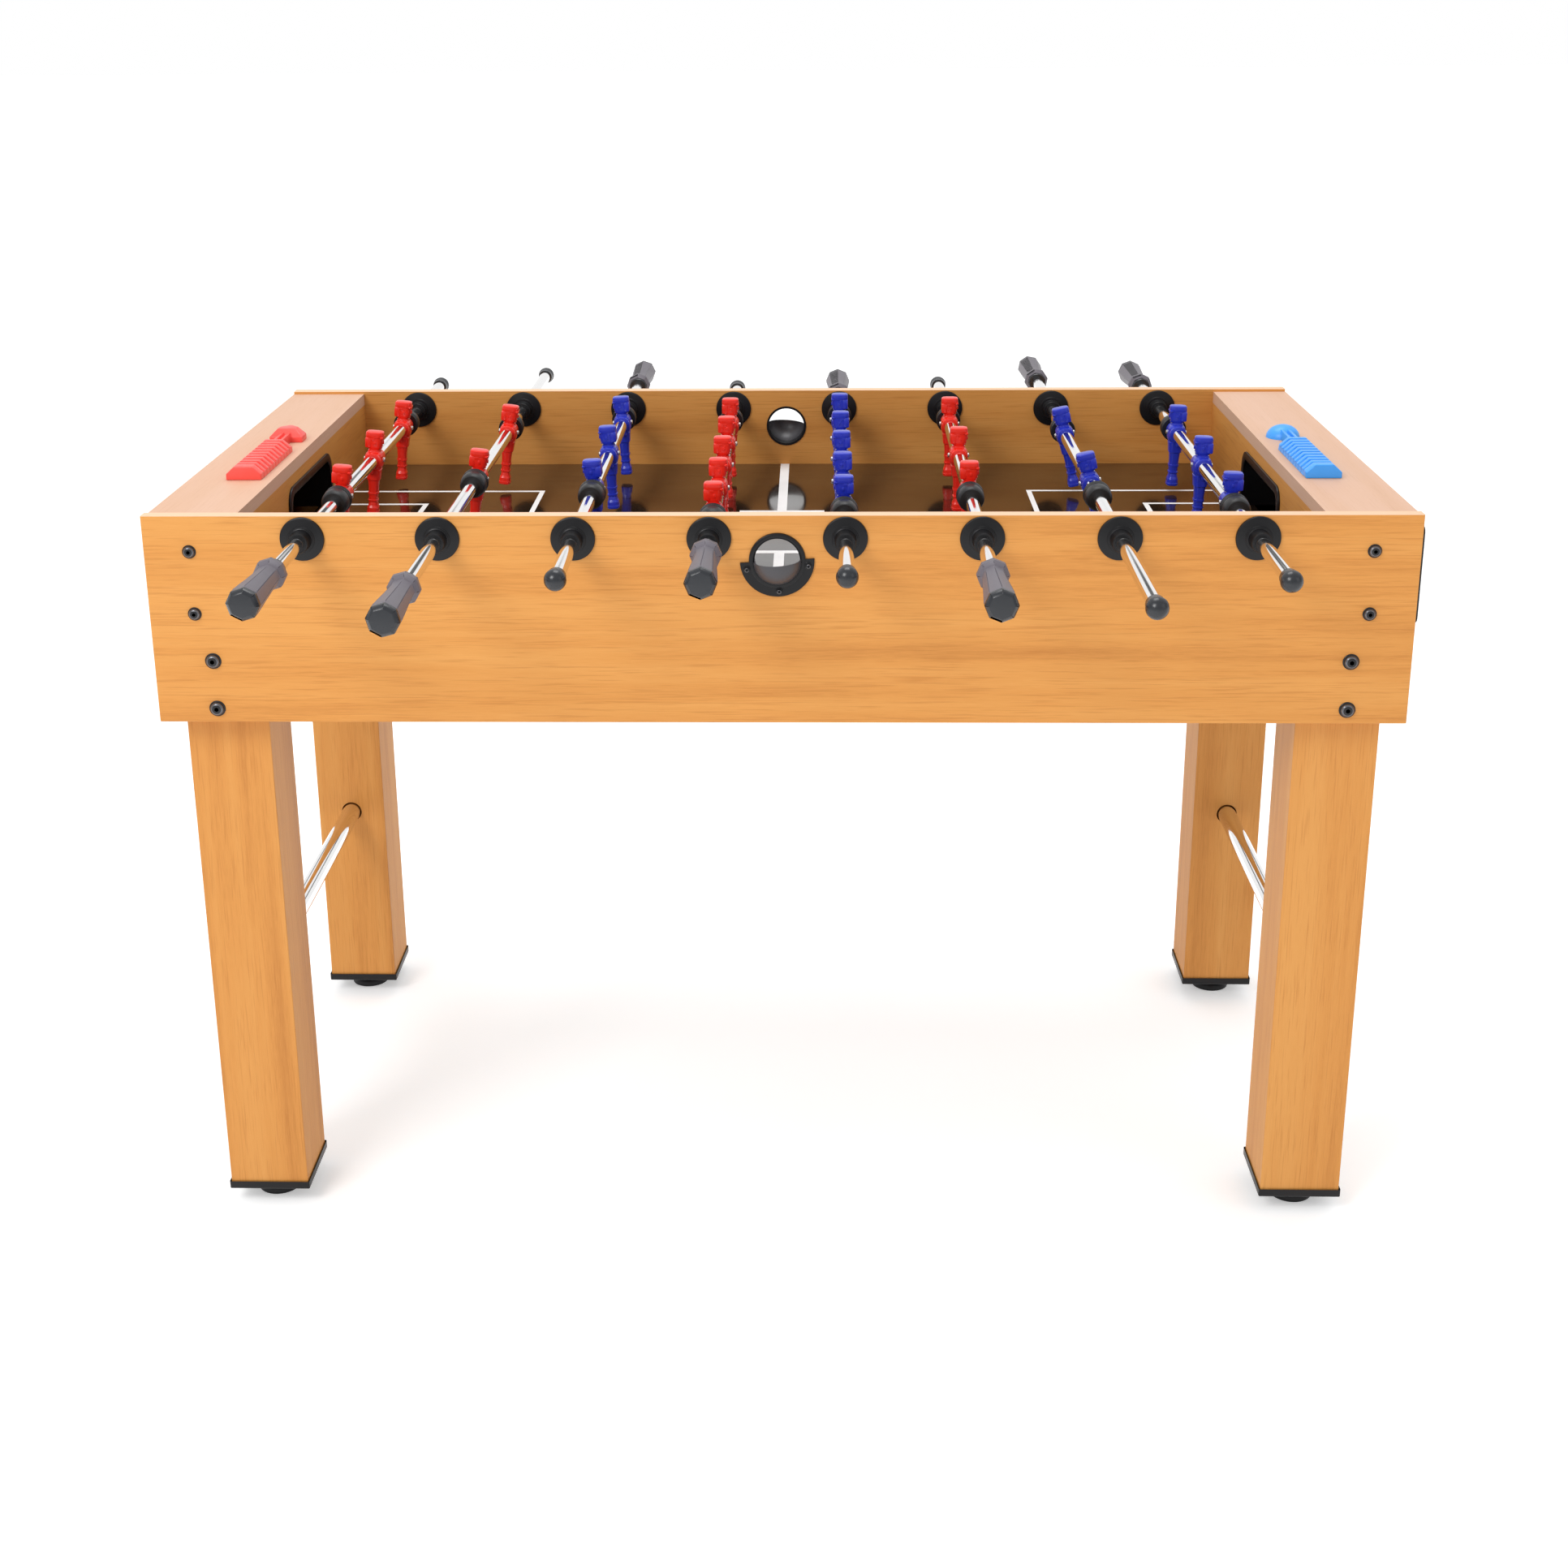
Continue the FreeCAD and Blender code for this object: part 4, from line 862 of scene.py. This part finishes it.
def addScorer(colour, side):
    size = scorerSize
    half, ridge, top, edge = size["half"], size["ridge"], size["high"], size["edge"]
    section = [(-half, 0), (half, 0), (half, edge), (ridge, top), (-ridge, top), (-half, edge)]
    rail, high, groove = size["rail"], size["railHigh"], size["groove"]
    shape = newShape()
    deep = high - size["grooveDeep"]
    track = [(-rail, 0), (rail, 0), (rail, high), (groove, high), (groove, deep), (-groove, deep),
             (-groove, high), (-rail, high)]
    outlinePrism(shape, track, size["near"] + size["end"] - 1, size["far"] - 20, bevel=0.4)
    outlinePrism(shape, section, size["near"], size["near"] + size["end"], bevel=1.2, segments=3)
    head = newShape()
    if colour == "red":
        plan = [(-half, 28), (half, 28), (half, 52), (rail, 68), (-rail, 68), (-half, 52)]
        outlinePrism(head, plan, 0, top, "XY")
        crown = [face for face in head.faces if face.normal.z > 0.9]
        bmesh.ops.inset_region(head, faces=crown, thickness=9 * mm, use_even_offset=True)
        lower = [vert for vert in head.verts if vert.co.z > top * mm - tiny and vert not in crown[0].verts]
        bmesh.ops.translate(head, verts=lower, vec=(0, 0, (edge - top) * mm))
        soften(head, list(head.edges), 0.8)
    else:
        bmesh.ops.create_uvsphere(head, u_segments=48, v_segments=24, radius=1)
        bmesh.ops.scale(head, verts=head.verts, vec=(half * mm, 20 * mm, 16 * mm))
        bmesh.ops.bisect_plane(head, geom=list(head.verts) + list(head.edges) + list(head.faces), dist=tiny,
                               plane_co=(0, 0, 0), plane_no=(0, 0, 1), clear_inner=True)
        bmesh.ops.holes_fill(head, edges=[rim for rim in head.edges if rim.is_boundary], sides=0)
        bmesh.ops.translate(head, verts=head.verts, vec=(0, 48 * mm, 0))
    stamp(shape, asPattern(head), Matrix.Identity(4))
    railMesh = asPattern(shape)
    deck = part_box("deck_boards")[1].z
    x = side * size["across"] * mm
    shape = newShape()
    stamp(shape, railMesh, Matrix.Translation((x, 0, deck)))
    finishPiece(f"{colour}_scorer_rail", shape, "table", [f"{colour}Scorer"],
                [f"{colour}_scorer_rail"], 30)
    bead = newShape()
    saddle, gap = rail + size["gap"], size["gap"]
    foot = size["foot"]
    saddleWall = [(-half, gap), (-saddle, gap), (-saddle, high + gap), (saddle, high + gap), (saddle, gap),
                  (half, gap), (half, edge - 1), (ridge + 3, top - 4), (-ridge - 3, top - 4), (1 - half, edge)]
    outlinePrism(bead, saddleWall, 0, size["thick"])
    crest = [(-saddle - 1, high - 1), (saddle + 1, high - 1), (ridge + 6, edge + 1), (half, edge - 1),
             (half, edge), (ridge, top), (-ridge, top), (-half, edge), (-half, edge - 1), (-ridge - 6, edge + 1)]
    outlinePrism(bead, crest, foot, size["thick"] - foot, bevel=0.8, segments=2)
    beadMesh = asPattern(bead)
    shape = newShape()
    for index in range(size["count"]):
        start = size["near"] + size["end"] + gap + size["pitch"] * index
        stamp(shape, beadMesh, Matrix.Translation((x, start * mm, deck)))
    finishPiece(f"{colour}_scorer_beads", shape, f"{colour}_beads", [f"{colour}Scorer"],
                [f"{colour}_scorer_beads"], 30)


addScorer("red", -1)
addScorer("blue", 1)
print("scorers fitted")

# Floor, light and camera. The room is white ahead and dimmer behind the camera and to the right, with
# one narrow dark band above the horizon that gives the polished rods their streak.
studio = {"floor": 30, "floorColour": (0.95, 0.95, 0.95), "glow": 0.36,
          "target": (0, 0, 0.7), "lampSize": 1.5,
          "lamps": {"keyLight": ((-1.8, -2.6, 3.0), 60), "fillLight": ((2.6, -1.8, 2.0), 5),
                    "topLight": ((0, 0.6, 3.4), 28)},
          "sky": {"Z": [(0.285, 1.0), (0.30, 0.10), (0.335, 0.10), (0.36, 1.0)],
                  "Y": [(0.0, 0.80), (0.25, 1.0)], "X": [(0.55, 1.0), (0.9, 0.7)]}}


def addLight(name, where, power):
    light = bpy.data.lights.new(name, "AREA")
    light.size = studio["lampSize"]
    light.energy = power
    lamp = bpy.data.objects.new(name, light)
    bpy.context.scene.collection.objects.link(lamp)
    lamp.location = where
    lamp.rotation_euler = (Vector(studio["target"]) - Vector(where)).to_track_quat("-Z", "Y").to_euler()


def addStudio():
    shape = newShape()
    bmesh.ops.create_grid(shape, x_segments=1, y_segments=1, size=studio["floor"])
    mesh = bpy.data.meshes.new("studio_floor")
    shape.to_mesh(mesh)
    shape.free()
    shader = Shader("studioFloor")
    dust = shader.noise(shader.place, 3, 3)
    dusty = tuple(0.98 * part for part in studio["floorColour"])
    shader.set("Base Color", shader.mix(dust, studio["floorColour"], dusty))
    shader.set("Roughness", 0.9)
    shader.set("Emission Color", studio["floorColour"])
    shader.surface.inputs["Emission Strength"].default_value = studio["glow"]
    mesh.materials.append(shader.material)
    floor = bpy.data.objects.new("studio_floor", mesh)
    bpy.context.scene.collection.objects.link(floor)
    world = bpy.data.worlds.new("studio")
    world.use_nodes = True
    sky = Nodes(world.node_tree, "Generated")
    light = 1.0
    for axis, stops in studio["sky"].items():
        light = sky.ramp(sky.axis(axis), [(position, (value,) * 3) for position, value in stops]) * light
    background = sky.tree.nodes["Background"]
    background.inputs["Color"].default_value = (1, 1, 1, 1)
    sky.tree.links.new(light.link, background.inputs["Strength"])
    bpy.context.scene.world = world
    bpy.context.scene.view_settings.view_transform = "Standard"
    for name, (where, power) in studio["lamps"].items():
        addLight(name, where, power)


addStudio()

# Turns are in radians, from a level camera that looks along +Y.
cameraLook = {"lens": 48.58, "sensor": 36, "shiftX": 0.0178, "shiftY": -0.0800, "clip": 100,
              "place": (0.0426, -2.5500, 1.4220), "yaw": 0.0302, "pitch": -0.3145, "roll": 0.0086}
camera = bpy.data.cameras.new("camera")
camera.lens = cameraLook["lens"]
camera.sensor_width = cameraLook["sensor"]
camera.shift_x = cameraLook["shiftX"]
camera.shift_y = cameraLook["shiftY"]
camera.clip_end = cameraLook["clip"]
viewer = bpy.data.objects.new("camera", camera)
bpy.context.scene.collection.objects.link(viewer)
level = Matrix.Rotation(math.pi / 2, 4, "X")
aim = Matrix.Rotation(cameraLook["yaw"], 4, "Z") @ Matrix.Rotation(cameraLook["pitch"], 4, "X")
viewer.matrix_world = (Matrix.Translation(cameraLook["place"]) @ aim
                       @ Matrix.Rotation(cameraLook["roll"], 4, "Y") @ level)
bpy.context.scene.camera = viewer
print("studio set")
